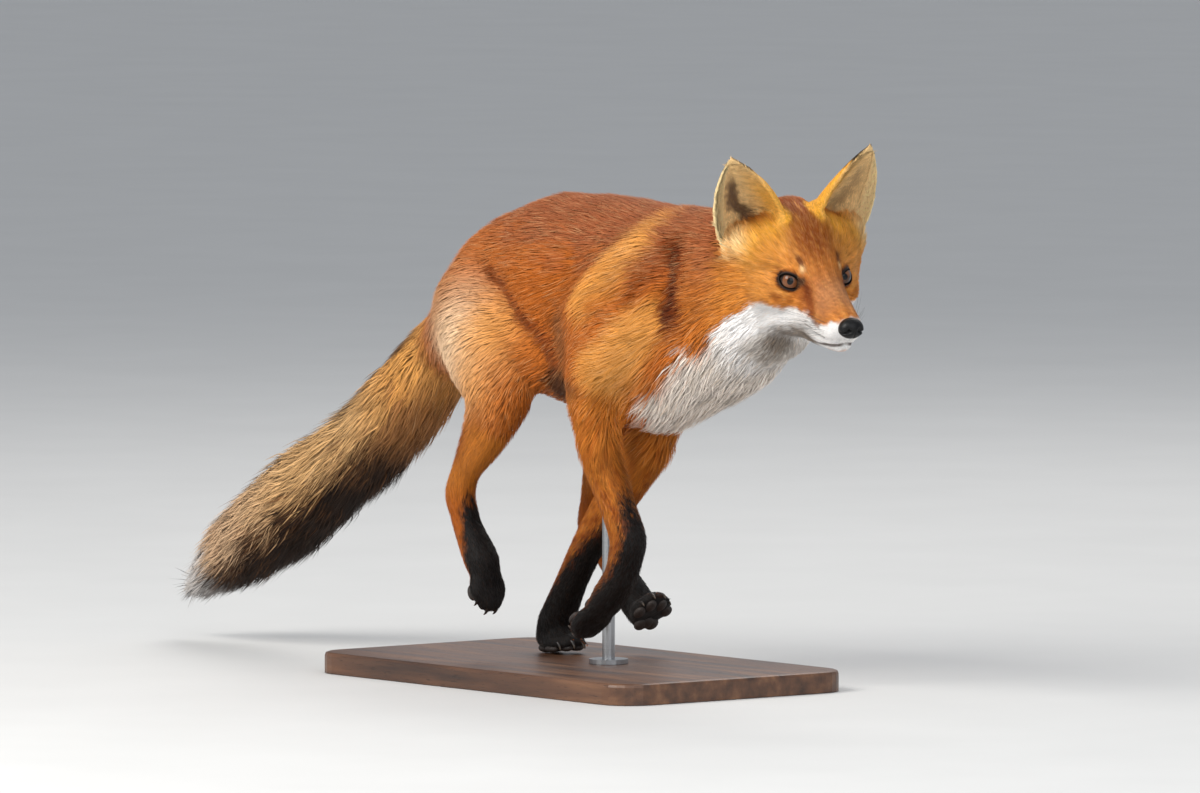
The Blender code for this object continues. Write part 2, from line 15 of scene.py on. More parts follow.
import bmesh
import bpy
import numpy as np
from bmesh.types import BMesh
from bpy.types import ID, Material, Mesh, NodeSocket, Object
from mathutils import Euler, Matrix, Vector
from mathutils.bvhtree import BVHTree
from mathutils.kdtree import KDTree
from numpy.random import Generator, default_rng

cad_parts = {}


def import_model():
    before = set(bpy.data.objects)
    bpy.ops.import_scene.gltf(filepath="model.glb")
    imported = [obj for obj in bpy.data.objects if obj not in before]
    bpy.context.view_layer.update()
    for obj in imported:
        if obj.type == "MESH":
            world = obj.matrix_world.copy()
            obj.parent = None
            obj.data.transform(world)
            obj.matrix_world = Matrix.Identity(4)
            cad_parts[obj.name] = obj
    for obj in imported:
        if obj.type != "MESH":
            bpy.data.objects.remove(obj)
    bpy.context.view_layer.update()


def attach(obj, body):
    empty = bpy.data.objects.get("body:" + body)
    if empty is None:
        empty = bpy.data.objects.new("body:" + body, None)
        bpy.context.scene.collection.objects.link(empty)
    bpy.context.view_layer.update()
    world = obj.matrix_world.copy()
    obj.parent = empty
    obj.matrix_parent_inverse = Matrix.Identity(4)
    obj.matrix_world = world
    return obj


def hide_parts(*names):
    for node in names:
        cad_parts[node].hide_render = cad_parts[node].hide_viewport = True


LOG = logging.getLogger("fox")
Place = tuple[float, float, float]
Rows = np.ndarray  # one row, or one value, for each place, point or tuft

SIDES = {1: "left", -1: "right"}
SEED = 11
CM = 0.01
MM = 0.001
BASE_TOP = 0.0183
SQUASH = np.array((1.0, 0.2, 1.0))
ALL_ROUND = np.ones(3)
BAKE_MAP = "OFBake"

HEAD_PLACE = (34.5, -1.3, 34.8)
HEAD_TURN = (3.5, 13, -16)
EYE_PLACE = (-0.85, 2.25, -0.33)
EYE_RADIUS = 0.95
EYE_OUT = (0.819, 0.552, 0.156)
EYE_CORNER = (0.88, -0.45, -0.16)
EYE_GAZE = {1: (0.86, 0.04, 0.22), -1: (0.87, -0.40, 0.22)}
NOSE_PLACE = (7.25, 0.0, -2.36)
NOSE_RADII = (0.92, 1.06, 0.9)

EAR_HEIGHT = 8.4
EAR_HALF_WIDTH = 2.85
EAR_TAPER = 2.1
EAR_BELLY = 0.33
EAR_CURL_AT_BASE = math.radians(96.0)
EAR_CURL_AT_TIP = math.radians(44.0)
EAR_TIP_FORWARD = 0.9
EAR_PITCH = 6.0
# The root of each ear, with the degrees that it leans out and turns.
EARS = {1: ((-4.8, 3.65, 2.1), -13.0, 20.0), -1: ((-4.8, -3.9, 2.1), 17.0, -20.0)}

MOUTH = ((6.35, 0, -4.02), (6.3, 0.2, -4.05), (5.8, 0.8, -4.22), (4.7, 1.1, -4.45), (3.3, 1.2, -4.8),
         (2.3, 1.45, -4.8), (1.3, 1.85, -4.45), (0.3, 2.3, -4.3))

SHOULDER_FOLD = ((18.2, 6, 36), (16.6, 6.6, 34.3), (14.6, 6.8, 32.2))
THIGH_FOLD = ((-6.4, 6.2, 33.4), (-3.2, 6.7, 32), (-0.6, 6.8, 29.6), (1.8, 6.7, 27.8), (2.6, 6.2, 25.6))

# How high or deep each fold of the body is, in centimetres, how far it reaches, and its line.
FOLDS = (
    (-1.2, 1.2, ((19.9, 6.3, 35.6), (19.8, 6.5, 33.4), (18.9, 6.4, 31))),
    (0.8, 1.4, ((15.2, 5.6, 37.2), (12.2, 7, 34.2), (8.6, 7.4, 30.8))),
    (-0.8, 1.2, SHOULDER_FOLD),
    (0.6, 2.2, ((16, 6.2, 29.8), (12.2, 6.8, 26.8))),
    (-0.9, 2, ((7, 7, 35), (4.4, 7.3, 31), (5, 7, 27))),
    (-1.2, 1.2, THIGH_FOLD),
    (0.6, 2.4, ((-9.5, 6.6, 31), (-5.6, 6.9, 27.6))),
)

# How high or deep the face's own bumps are, where, and how far they reach: the brow, the orbit,
# the pad of the whiskers, the hollow behind it, and the dip between the eyes.
FACE_RISES = (
    (0.13, (-0.1, 1.45, 1.1), 0.5),
    (0.22, (-0.5, 2.8, 0), 1.2),
    (0.08, (5.3, 1.2, -2.9), 0.6),
    (-0.1, (3.2, 1.7, -2), 0.7),
    (-0.07, (0.4, 0, 0.7), 0.45),
)

FLESH = (
    "trunk", "neck", "head", "ear_left", "ear_right", "tail_base", "tail_middle", "tail_tip",
    "foreleg_left", "foreleg_right", "hindleg_left", "hindleg_right",
    "forefoot_left", "forefoot_right", "hindfoot_left", "hindfoot_right",
)


# ---- frames

def pose(place: Place, turn: Place) -> Matrix:
    """A placed and turned frame.

    Args:
        place: Where the frame's origin lies.
        turn: Degrees about X, Y and Z, in that order.

    Returns:
        The matrix from the frame's own numbers to those round it.
    """
    angles = [math.radians(angle) for angle in turn]
    return Matrix.Translation(place) @ Euler(angles, "XYZ").to_matrix().to_4x4()


BODY = Matrix.Translation((0.0, 0.0, BASE_TOP)) @ Matrix.Scale(CM, 4)
HEAD = BODY @ pose(HEAD_PLACE, HEAD_TURN)


def ear_frame(side: int) -> Matrix:
    """The frame of the left (1) or right (-1) ear, which opens along its +x."""
    place, lean, turn = EARS[side]
    return HEAD @ pose(place, (lean, EAR_PITCH, turn))


def eye_frame(side: int, out: Place) -> Matrix:
    """A frame in an eye's middle, in centimetres, with its z along out and its x to the nose.

    Args:
        side: 1 for the left eye and -1 for the right one.
        out: The direction of z in the head's frame.

    Returns:
        The matrix from the eye's own centimetres to metres.
    """
    axis = Vector(out).normalized()
    corner = Vector((EYE_CORNER[0], EYE_CORNER[1] * side, EYE_CORNER[2]))
    along = (corner - axis * corner.dot(axis)).normalized()
    up = axis.cross(along)
    turn = Matrix((along, up, axis)).transposed().to_4x4()
    x, y, z = EYE_PLACE
    return HEAD @ Matrix.Translation((x, y * side, z)) @ turn


def lid_frame(side: int) -> Matrix:
    """The frame of an eye's lids, with its z out of the middle of their opening."""
    return eye_frame(side, (EYE_OUT[0], EYE_OUT[1] * side, EYE_OUT[2]))


def through(matrix: Matrix, places: Rows, turn_only: bool = False) -> Rows:
    """Places, or directions if turn_only, taken through a matrix."""
    table = np.array(matrix)
    moved = places @ table[:3, :3].T
    return moved if turn_only else moved + table[:3, 3]


def one_sided(places: Rows) -> Rows:
    """The places with the fox's right side laid on its left one."""
    return np.column_stack((places[:, 0], np.abs(places[:, 1]), places[:, 2]))


def unit(vectors: Rows) -> Rows:
    """The vectors with length one."""
    return vectors / np.maximum(np.linalg.norm(vectors, axis=-1, keepdims=True), 1e-12)


def smooth(values: Rows, low: float, high: float) -> Rows:
    """0 at low and 1 at high, eased between. low may be the larger."""
    part = np.clip((values - low) / (high - low), 0.0, 1.0)
    return part * part * (3.0 - 2.0 * part)


def clipped(value: float) -> float:
    """The value, kept from 0 to 1."""
    return max(0.0, min(1.0, value))


def bump(places: Rows, centre: Place | Rows, reach: float) -> Rows:
    """A bell of height one round a place."""
    away = ((places - np.array(centre)) ** 2).sum(axis=1)
    return np.exp(-away / (2.0 * reach * reach))


def ripple(places: Rows, size: float, seed: int, waves: int = 7) -> Rows:
    """A smooth random pattern between about -1 and 1.

    Args:
        places: Where it is wanted.
        size: About how far apart its hills are, in the same unit.
        seed: Which pattern.
        waves: How many sines it is made of.

    Returns:
        One value for each place.
    """
    draw = default_rng(seed)
    ways = unit(draw.normal(size=(waves, 3))) * draw.uniform(0.6, 1.5, (waves, 1))
    phases = draw.uniform(0.0, math.tau, waves)
    return np.sin(places @ ways.T * (math.tau / size) + phases).sum(axis=1) / math.sqrt(waves)


def off_line(places: Rows, line: Sequence[Place | Rows]) -> Rows:
    """How far each place is from a line through some points."""
    best = np.full(len(places), 1e9)
    for start, end in zip(line[:-1], line[1:]):
        a, b = np.array(start), np.array(end)
        part = np.clip((places - a) @ (b - a) / ((b - a) @ (b - a)), 0.0, 1.0)
        best = np.minimum(best, np.linalg.norm(places - a - part[:, None] * (b - a), axis=1))
    return best


# ---- dyes

def dye(red: int, green: int, blue: int) -> Rows:
    """A colour as light, from its values out of 255 as a screen shows them."""
    shown = np.array((red, green, blue)) / 255.0
    return np.where(shown <= 0.04045, shown / 12.92, ((shown + 0.055) / 1.055) ** 2.4)


class Dye(Enum):
    """The colours of the coat and of the bare pieces, with greys for painted shade."""

    BACK = (160, 88, 52)
    RUSSET = (186, 98, 30)
    RUST = (138, 62, 12)
    ORANGE = (214, 130, 48)
    AMBER = (240, 166, 80)
    PALE_TAN = (250, 214, 176)
    TAN_SHADE = (160, 106, 62)
    CREAM = (255, 226, 168)
    GOLD = (246, 176, 58)
    WHITE = (255, 252, 250)
    BIB = (250, 238, 226)
    # The next two are greys of painted shade: the first on the lower bib and below the cheeks' white, the
    # second under the jaw and in the mouth's corner, where it also draws the rows of whisker spots.
    BIB_SHADOW = (168, 152, 134)
    SHADOW_AND_ROW_GREY = (118, 106, 94)
    LIP = (206, 160, 138)
    MAHOGANY = (92, 34, 6)
    UMBER = (62, 40, 26)
    BLACK = (18, 14, 13)
    TAIL = (226, 178, 120)
    TAIL_GREY = (206, 174, 146)
    TAIL_UNDER = (20, 14, 11)
    TAIL_TIP = (206, 200, 196)
    # Partly the ear's bare skin, partly painted shade in its cup.
    HOLLOW = (84, 58, 44)

    @property
    def light(self) -> Rows:
        """The colour as light."""
        return dye(*self.value)

    def over(self, count: int) -> Rows:
        """The colour as light, one row for each of so many places."""
        return np.tile(self.light, (count, 1))


def blend(first: Rows, second: Rows, part: Rows) -> Rows:
    """The first colours, going over to the second ones as part goes from 0 to 1."""
    return first * (1.0 - part[:, None]) + second * part[:, None]


def stain(colours: Rows, shade: Dye, mask: Rows) -> Rows:
    """The colours with a shade laid over them where the mask is."""
    return blend(colours, shade.light, np.clip(mask, 0.0, 1.0))


@dataclass(frozen=True)
class Ground:
    """What marks are laid on: its places on one side, how flat they are seen, and its patterns."""

    places: Rows
    squash: Rows
    patterns: tuple[Rows, ...]

    def waver(self, parts: tuple[float, ...]) -> Rows | float:
        """The patterns added up, each times its part."""
        return sum(part * pattern for part, pattern in zip(parts, self.patterns))


@dataclass(frozen=True)
class Spot:
    """A soft round mark, whose strength may waver with the ground's patterns."""

    shade: Dye
    centre: Place
    reach: float
    strength: float = 1.0
    parts: tuple[float, ...] = ()

    def mask(self, ground: Ground) -> Rows:
        """How strong the mark is at each of the ground's places."""
        bell = bump(ground.places * ground.squash, np.array(self.centre) * ground.squash, self.reach)
        return bell * (self.strength + ground.waver(self.parts))


@dataclass(frozen=True)
class Streak:
    """A soft line, nothing at far from it and full at near, whose edge may waver."""

    shade: Dye
    line: Sequence[Place]
    far: float
    near: float
    strength: float = 1.0
    parts: tuple[float, ...] = ()

    def mask(self, ground: Ground) -> Rows:
        """How strong the mark is at each of the ground's places."""
        line = [np.array(point) * ground.squash for point in self.line]
        off = off_line(ground.places * ground.squash, line) + ground.waver(self.parts)
        return smooth(off, self.far, self.near) * self.strength


def laid(colours: Rows, marks: Iterable[Spot | Streak], ground: Ground) -> Rows:
    """The colours with marks laid over them, one after another."""
    for mark in marks:
        colours = stain(colours, mark.shade, mark.mask(ground))
    return colours


# The line of the painted shadow between the neck's ruff and the shoulder.
GROOVE_SHADOW = ((19.4, 6.3, 35.8), (19.4, 6.5, 33.4), (18.6, 6.4, 30.6))

# The trunk's marks: the fur's own colours, with painted highlights and painted shade that follow the body's
# forms.
TRUNK_MARKS_AND_PAINTED_LIGHT = (
    Spot(Dye.ORANGE, (21.5, 6, 31.5), 2.8, 0.45),
    # Painted highlight: amber bands along the shoulder's raised ridge and the raised muscle below it.
    Streak(Dye.AMBER, ((14.7, 5.2, 37.4), (12.5, 6.6, 34.8), (9.6, 7.5, 31.4)), 2.4, 0.2, 0.72),
    Streak(Dye.AMBER, ((15.8, 6.2, 30), (12.7, 6.7, 26.9), (10.6, 7, 25.4)), 3, 0.8, 0.75),
    # Painted shade: dark rust and mahogany in the groove between the neck's ruff and the shoulder.
    Streak(Dye.RUST, GROOVE_SHADOW, 2.7, 0.7, 1, (0.2,)),
    Streak(Dye.MAHOGANY, GROOVE_SHADOW, 1.9, 0.4, 0.95, (0.2,)),
    # Painted shade in the fold in front of the shoulder's ridge.
    Streak(Dye.RUST, SHOULDER_FOLD, 1.4, 0.2, 0.7),
    # Painted shade where the flank tucks up towards the belly.
    Streak(Dye.TAN_SHADE, ((5.5, 7, 29), (3.4, 7, 25.6)), 2.2, 0.4, 0.5),
    Spot(Dye.PALE_TAN, (-9, 6.8, 28), 2.6, 0.88, (0.15,)),
    # The pale lower haunch: partly its paler fur, partly painted light where the surface turns down.
    Spot(Dye.PALE_TAN, (-10.6, 6, 25.6), 2.9),
    Spot(Dye.AMBER, (-4.8, 6.8, 28.2), 2.1, 0.7),
    Spot(Dye.TAN_SHADE, (-13, 5, 31), 2.3, 0.6, (0.3,)),
    Spot(Dye.AMBER, (-6.4, 6.4, 23.6), 2, 0.5),
    # Painted shade in the fold along the front of the haunch.
    Streak(Dye.RUST, THIGH_FOLD, 1.5, 0.3, 0.9, (0.2,)),
    # Painted shade under the belly, between the foreleg and the thigh.
    Streak(Dye.UMBER, ((1.8, 4.8, 24.2), (5.6, 4.8, 23.4), (7.6, 4.8, 23)), 2.2, 0.5, 0.9),
)

# How high the bib's edge is along the neck, and the white's edge along the cheek.
BIB_EDGE = (
    (8, 20), (11.5, 22.2), (14, 24), (18, 25.8), (19.4, 27.9), (21.2, 27.2), (23.2, 28.2),
    (24.4, 29.8), (26, 31.1), (29, 33.3),
)

CHEEK_EDGE = (
    (-10, -9.2), (-7.7, -7), (-6, -5.2), (-5.2, -4.1), (-4.2, -3), (-2.7, -2.6), (-1.1, -2.45),
    (0.8, -2.5), (2.9, -2.5), (4.4, -2.9), (5.2, -2.6), (6.4, -2.1), (7.2, -1.5),
)

FACE_MARKS = (
    Spot(Dye.RUSSET, (2, 0, 0.2), 1.6, 0.6),
    Spot(Dye.RUSSET, (4.2, 0.6, -0.9), 1.5, 0.45),
    Spot(Dye.AMBER, (-2.4, 4.4, -0.6), 1.6, 0.5, (0, 0.25)),
    Spot(Dye.AMBER, (-1.4, 2.6, 1.9), 0.9, 0.45, (0.3,)),
    Spot(Dye.RUSSET, (1.6, 2.2, -1.6), 1.1, 0.8),
    Spot(Dye.GOLD, (-4.4, 4.6, 2.2), 1.2, 0.8),
    Spot(Dye.CREAM, (-5.4, 5.6, 2.2), 0.9, 0.8),
    Spot(Dye.GOLD, (-3.6, 2.7, 3.6), 1.2, 0.95),
)

TEAR = ((0.6, 1.5, -0.15), (1.4, 1.5, -0.4), (2, 1.45, -0.9), (2.4, 1.6, -1.6), (2.8, 1.7, -2.1))

BRIDGE_MARKS = (
    Spot(Dye.TAN_SHADE, (3.6, 0.2, -0.9), 1.8, 0.35),
    Spot(Dye.PALE_TAN, (3.6, 0.2, -0.9), 1.6, 0.14),
    Streak(Dye.RUST, TEAR, 0.95, 0.15, 0.85, (0.08,)),
)

UNDER_EYE = ((-0.7, 3.8, -1.4), (0.3, 3.2, -1.8), (0.8, 2.4, -1.8), (1.7, 1.8, -1.2))
LID_CREASE = ((-0.9, 3.4, 0.95), (-0.5, 2.6, 1.25), (0.1, 1.8, 1.2))

EYE_MARKS_AND_SHADE = (
    Streak(Dye.RUST, UNDER_EYE, 0.6, 0.1, 0.6),
    Streak(Dye.AMBER, ((-0.7, 3.5, -1.05), (-0.1, 2.95, -1.3), (0.5, 2.35, -1.2)), 0.34, 0.08, 0.6),
    Streak(Dye.MAHOGANY, ((-0.8, 3.25, -0.1), (-0.95, 3.7, -0.45), (-1.3, 4.1, -0.7)), 0.36, 0.05, 0.8),
    # Painted shade in the two creases above the eye.
    Streak(Dye.MAHOGANY, ((0.15, 1.62, 1.3), (-0.35, 1.75, 1.62)), 0.42, 0.08, 0.85),
    Streak(Dye.MAHOGANY, LID_CREASE, 0.34, 0.05, 0.6, (0, 0.06)),
    Spot(Dye.CREAM, (0.42, 1.72, 0.86), 0.2, 0.8),
)

EYE_CORNER_LINE = ((-0.1, 1.85, -0.45), (0.35, 1.65, -0.3), (0.75, 1.5, -0.14))

# Where the painted shadow under the jaw lies.
THROAT_SHADOW_LINE = ((1.6, 1.6, -5.2), (-1.5, 2.4, -5.6), (-4.5, 2.5, -7))

MUZZLE_MARKS_AND_SHADE = (
    Streak(Dye.MAHOGANY, ((4.4, 1.6, -2.75), (3.4, 1.8, -2.7)), 0.42, 0.05, 0.6, (0.1,)),
    # Dark rows of whisker spots.
    *(
        Streak(Dye.SHADOW_AND_ROW_GREY, ((5, 1.35, -3.0 - drop), (2.2, 2, -2.95 - drop)), 0.11, 0.03, 0.8)
        for drop in (0, 0.34, 0.68)
    ),
    Streak(Dye.UMBER, MOUTH[:-1], 0.24, 0.08, 0.95),
    # Painted shadow of the fold at the mouth's corner.
    Streak(Dye.SHADOW_AND_ROW_GREY, MOUTH[-3:], 0.5, 0.1, 0.8),
    Streak(Dye.LIP, ((6, 0, -4.75), (4.6, 0.7, -4.95)), 0.35, 0.05, 0.7),
)


# ---- shader maths

def operator(operation: str, swapped: bool = False) -> Callable[["Wire", "Wire | float"], "Wire"]:
    """Makes one of the arithmetic methods of a wire.

    Args:
        operation: The Math node's operation.
        swapped: Whether the other term comes first.

    Returns:
        A method that puts a Math node on the wire and the other term.
    """

    def method(self: "Wire", other: "Wire | float") -> "Wire":
        """The output of a Math node on both terms."""
        terms = (other, self) if swapped else (self, other)
        return self.bench.node("ShaderNodeMath", {"operation": operation}, dict(enumerate(terms)))

    return method


class Wire:
    """A node's output, on which arithmetic adds Math nodes."""

    __add__ = operator("ADD")
    __radd__ = operator("ADD", True)
    __sub__ = operator("SUBTRACT")
    __rsub__ = operator("SUBTRACT", True)
    __mul__ = operator("MULTIPLY")
    __rmul__ = operator("MULTIPLY", True)
    __truediv__ = operator("DIVIDE")
    __pow__ = operator("POWER")

    def __init__(self, bench: "Bench", socket: NodeSocket) -> None:
        """Holds one output of a bench's node."""
        self.bench = bench
        self.socket = socket


class Bench:
    """Where one material's nodes are put together."""

    def __init__(self, name: str, **fixed: float | tuple) -> None:
        """Starts a material.

        Args:
            name: Its name.
            fixed: Values of the shader's sockets that are the same all over.
        """
        self.material = bpy.data.materials.new(name)
        self.material.use_nodes = True
        self.tree = self.material.node_tree
        self.shader = next(node for node in self.tree.nodes if node.type == "BSDF_PRINCIPLED")
        for key, value in fixed.items():
            self.shader.inputs[key.replace("_", " ").title().replace("Ior", "IOR")].default_value = value

    def node(
        self, kind: str, settings: dict | None = None, sockets: dict | None = None, output: int | str = 0
    ) -> Wire:
        """Adds a node.

        Args:
            kind: The node's type.
            settings: Its settings, or the stops of its ramp, which are set first.
            sockets: Values or wires for its sockets, by name or number.
            output: Which of its outputs is wanted.

        Returns:
            That output.
        """
        made = self.tree.nodes.new(kind)
        for name, value in (settings or {}).items():
            if name != "stops":
                setattr(made, name, value)
                continue
            ramp = made.color_ramp.elements
            while len(ramp) < len(value):
                ramp.new(0.5)
            for stop, (at, colour) in zip(ramp, value):
                stop.position = at
                stop.color = colour
        for name, value in (sockets or {}).items():
            self.plug(made.inputs[name], value)
        return Wire(self, made.outputs[output])

    def plug(self, socket: NodeSocket, value: "Wire | float | tuple") -> None:
        """Links or sets one socket."""
        if isinstance(value, Wire):
            self.tree.links.new(value.socket, socket)
        else:
            socket.default_value = value

    def place(self) -> Wire:
        """The Object coordinates."""
        return self.node("ShaderNodeTexCoord", output="Object")

    def mark(self, name: str, output: str = "Fac") -> Wire:
        """An attribute of the mesh."""
        return self.node("ShaderNodeAttribute", {"attribute_name": name}, output=output)

    def noise(self, at: Wire, scale: float, detail: float = 3.0, roughness: float = 0.5) -> Wire:
        """A noise, between about 0 and 1."""
        sockets = {"Vector": at, "Scale": scale, "Detail": detail, "Roughness": roughness}
        return self.node("ShaderNodeTexNoise", None, sockets)

    def eased(self, value: Wire, low: float, high: float, first: float = 0.0, last: float = 1.0) -> Wire:
        """Goes from first to last as the value goes from low to high."""
        sockets = {"Value": value, "From Min": low, "From Max": high, "To Min": first, "To Max": last}
        return self.node("ShaderNodeMapRange", {"interpolation_type": "SMOOTHSTEP"}, sockets)

    def mixed(self, part: Wire | float, first: Wire | tuple, second: Wire | tuple) -> Wire:
        """A colour between two colours."""
        sockets = {0: part, 6: first, 7: second}
        return self.node("ShaderNodeMix", {"data_type": "RGBA"}, sockets, output=2)

    def scaled(self, colour: Wire, factor: Wire | float) -> Wire:
        """A colour or a vector times a number."""
        return self.node("ShaderNodeVectorMath", {"operation": "SCALE"}, {0: colour, "Scale": factor})

    def stretched(self, at: Wire, scale: Place) -> Wire:
        """Coordinates stretched along their axes."""
        return self.node("ShaderNodeMapping", None, {"Vector": at, "Scale": scale})

    def relief(self, height: Wire, depth: float, strength: float = 1.0) -> None:
        """Gives the surface a relief of this depth in metres."""
        sockets = {"Height": height, "Distance": depth, "Strength": strength}
        self.set("Normal", self.node("ShaderNodeBump", None, sockets))

    def set(self, name: str, value: Wire) -> None:
        """Feeds one of the shader's sockets."""
        self.plug(self.shader.inputs[name], value)


def paint(colour: Dye | tuple, scale: float = 1.0) -> tuple[float, float, float, float]:
    """A dye as a socket's colour."""
    light = (colour.light if isinstance(colour, Dye) else dye(*colour)) * scale
    return (float(light[0]), float(light[1]), float(light[2]), 1.0)


# ---- finishes

@dataclass(frozen=True)
class CoatFinish:
    """Hair, drawn as several fine hairs to a tuft, darker at its root.

    The mesh carries marking, the pigment with painted shade and highlights laid in; along, 0 at the
    root and 1 at the tip; across, from -1 to 1 over a tuft; lock, a number of its own for each tuft;
    and tip, how far its tip fades, from -1 for dark to 1 for pale.
    """

    name: str
    root_tone: float = 0.62
    roughness: float = 0.62
    hairs: float = 3.2
    contrast: float = 0.42
    pale: tuple[int, int, int] = (244, 196, 140)
    dark: tuple[int, int, int] = (52, 26, 14)

    def made(self) -> Material:
        """Builds the material."""
        bench = Bench(self.name, specular_ior_level=0.12, sheen_weight=0.02, sheen_roughness=0.5)
        along, tip = bench.mark("along"), bench.mark("tip")
        sockets = {0: bench.mark("across") * self.hairs, 1: along * 1.6, 2: bench.mark("lock") * 37.0}
        strand = bench.noise(bench.node("ShaderNodeCombineXYZ", None, sockets), 1.0, 2.0, 0.6)
        tone = bench.eased(along, 0.0, 0.55, self.root_tone, 1.0) * (1.0 + self.contrast * (strand - 0.5))
        body = bench.scaled(bench.mark("marking", "Color"), tone)
        end = bench.eased(along, 0.3, 1.0)
        pale = bench.mixed(bench.eased(tip, 0.0, 1.0, 0.0, 0.5) * end, body, paint(self.pale))
        coat = bench.mixed(bench.eased(tip, 0.0, -1.0, 0.0, 0.7) * end, pale, paint(self.dark))
        bench.set("Base Color", coat)
        bench.set("Roughness", self.roughness - 0.08 * along + 0.1 * strand)
        return bench.material


@dataclass(frozen=True)
class SkinFinish:
    """The skin under the coat, with the coat's markings and painted shade, and the nap of its shortest fur.
    """

    name: str = "fox_skin"
    tone: float = 0.8

    def made(self) -> Material:
        """Builds the material."""
        bench = Bench(self.name, sheen_weight=0.1, specular_ior_level=0.25)
        at = bench.place()
        nap = bench.noise(at, 1100.0, 4.0, 0.65)
        blotch = bench.noise(at, 120.0, 3.0)
        tone = self.tone * (0.62 + 0.5 * nap + 0.2 * blotch)
        bench.set("Base Color", bench.scaled(bench.mark("marking", "Color"), tone))
        bench.set("Roughness", 0.55 + 0.25 * nap)
        bench.relief(nap, 0.0006, 0.8)
        return bench.material


@dataclass(frozen=True)
class EyeFinish:
    """A glass eye: an amber iris with fine rays, a dark rim and an upright pupil."""

    name: str = "eye_glass"
    pupil: tuple[float, float] = (0.28, 0.33)
    iris: float = 0.8

    def made(self) -> Material:
        """Builds the material."""
        bench = Bench(self.name, roughness=0.3, coat_weight=0.55, coat_roughness=0.03, specular_ior_level=0.1)
        gaze = bench.node("ShaderNodeSeparateXYZ", None, {0: bench.mark("gaze", "Vector")})
        tree = gaze.socket.node.outputs
        across, up = Wire(bench, tree[0]), Wire(bench, tree[1])
        ring = (across * across + up * up) ** 0.5
        slit = ((across / self.pupil[0]) ** 2.0 + (up / self.pupil[1]) ** 2.0) ** 0.5
        turn = bench.node("ShaderNodeMath", {"operation": "ARCTAN2"}, {0: up, 1: across})
        ray_place = bench.node("ShaderNodeCombineXYZ", None, {0: turn * 7.0, 1: ring * 1.4, 2: 0.0})
        rays = bench.noise(ray_place, 2.4, 4.0, 0.6)
        warm = bench.mixed(rays, paint((146, 92, 56)), paint((84, 48, 28)))
        inner = bench.mixed(bench.eased(slit, 0.95, 1.8, 1.0, 0.0), warm, paint((118, 72, 44)))
        # Painted shade of the upper lid: the iris darkens towards its top.
        inner = bench.scaled(inner, bench.eased(up, 0.05, 0.45, 1.0, 0.35))
        rimmed = bench.mixed(bench.eased(ring, self.iris - 0.2, self.iris), inner, paint((14, 9, 7)))
        pupil = bench.mixed(bench.eased(slit, 0.9, 1.02, 1.0, 0.0), rimmed, paint((3, 3, 4)))
        bench.set("Base Color", pupil)
        return bench.material


@dataclass(frozen=True)
class LeatherFinish:
    """Bare moist leather, as on the nose, the lids and the pads of the paws."""

    name: str
    colour: tuple[int, int, int] = (13, 11, 12)
    grain: float = 1500.0
    depth: float = 0.0002
    roughness: float = 0.34
    coat: float = 0.35
    shine: float = 0.5

    def made(self) -> Material:
        """Builds the material."""
        bench = Bench(self.name, coat_weight=self.coat, coat_roughness=0.25, specular_ior_level=self.shine)
        at = bench.place()
        cells = bench.node("ShaderNodeTexVoronoi", {"feature": "F1"}, {"Vector": at, "Scale": self.grain})
        wear = bench.noise(at, 350.0, 3.0)
        bench.set("Base Color", bench.mixed(wear, paint(self.colour), paint(self.colour, 1.9)))
        bench.set("Roughness", self.roughness + 0.16 * wear)
        bench.relief(1.0 - cells, self.depth, 0.9)
        return bench.material


@dataclass(frozen=True)
class HornFinish:
    """Claw horn: nearly black, paler and worn at the tip, with fine lengthwise grain."""

    name: str = "claw_horn"

    def made(self) -> Material:
        """Builds the material."""
        bench = Bench(self.name, coat_weight=0.2, coat_roughness=0.3)
        worn = bench.eased(bench.mark("along"), 0.45, 1.0)
        grain = bench.noise(bench.stretched(bench.place(), (900.0, 900.0, 160.0)), 1.0)
        horn = bench.mixed(worn * 0.8, paint((30, 24, 21)), paint((104, 88, 72)))
        bench.set("Base Color", bench.mixed(grain * 0.35, horn, paint((14, 10, 9))))
        bench.set("Roughness", 0.32 + 0.25 * grain)
        bench.relief(grain, 0.0001)
        return bench.material


@dataclass(frozen=True)
class WoodFinish:
    """Oiled walnut, its grain along the board."""

    name: str = "base_walnut"

    def made(self) -> Material:
        """Builds the material."""
        bench = Bench(self.name, coat_weight=0.25, coat_roughness=0.3)
        at = bench.place()
        bend = bench.noise(bench.stretched(at, (3.0, 9.0, 9.0)), 1.0, 2.0)
        drawn = bench.stretched(at, (5.0, 60.0, 60.0))
        bent = bench.node("ShaderNodeVectorMath", {"operation": "ADD"}, {0: drawn, 1: bend})
        rings = bench.noise(bent, 1.2, 5.0)
        pores = bench.noise(bench.stretched(at, (90.0, 1300.0, 1300.0)), 1.0, 2.0)
        stops = ((0.3, paint((58, 36, 24))), (0.52, paint((98, 64, 42))), (0.72, paint((132, 92, 62))))
        wood = bench.node("ShaderNodeValToRGB", {"stops": stops}, {0: rings})
        holes = bench.eased(pores, 0.62, 0.72)
        bench.set("Base Color", bench.mixed(holes * 0.6, wood, paint((34, 21, 14))))
        bench.set("Roughness", 0.38 + 0.2 * rings + 0.2 * holes)
        bench.relief(rings * 0.3 - holes, 0.00012)
        return bench.material


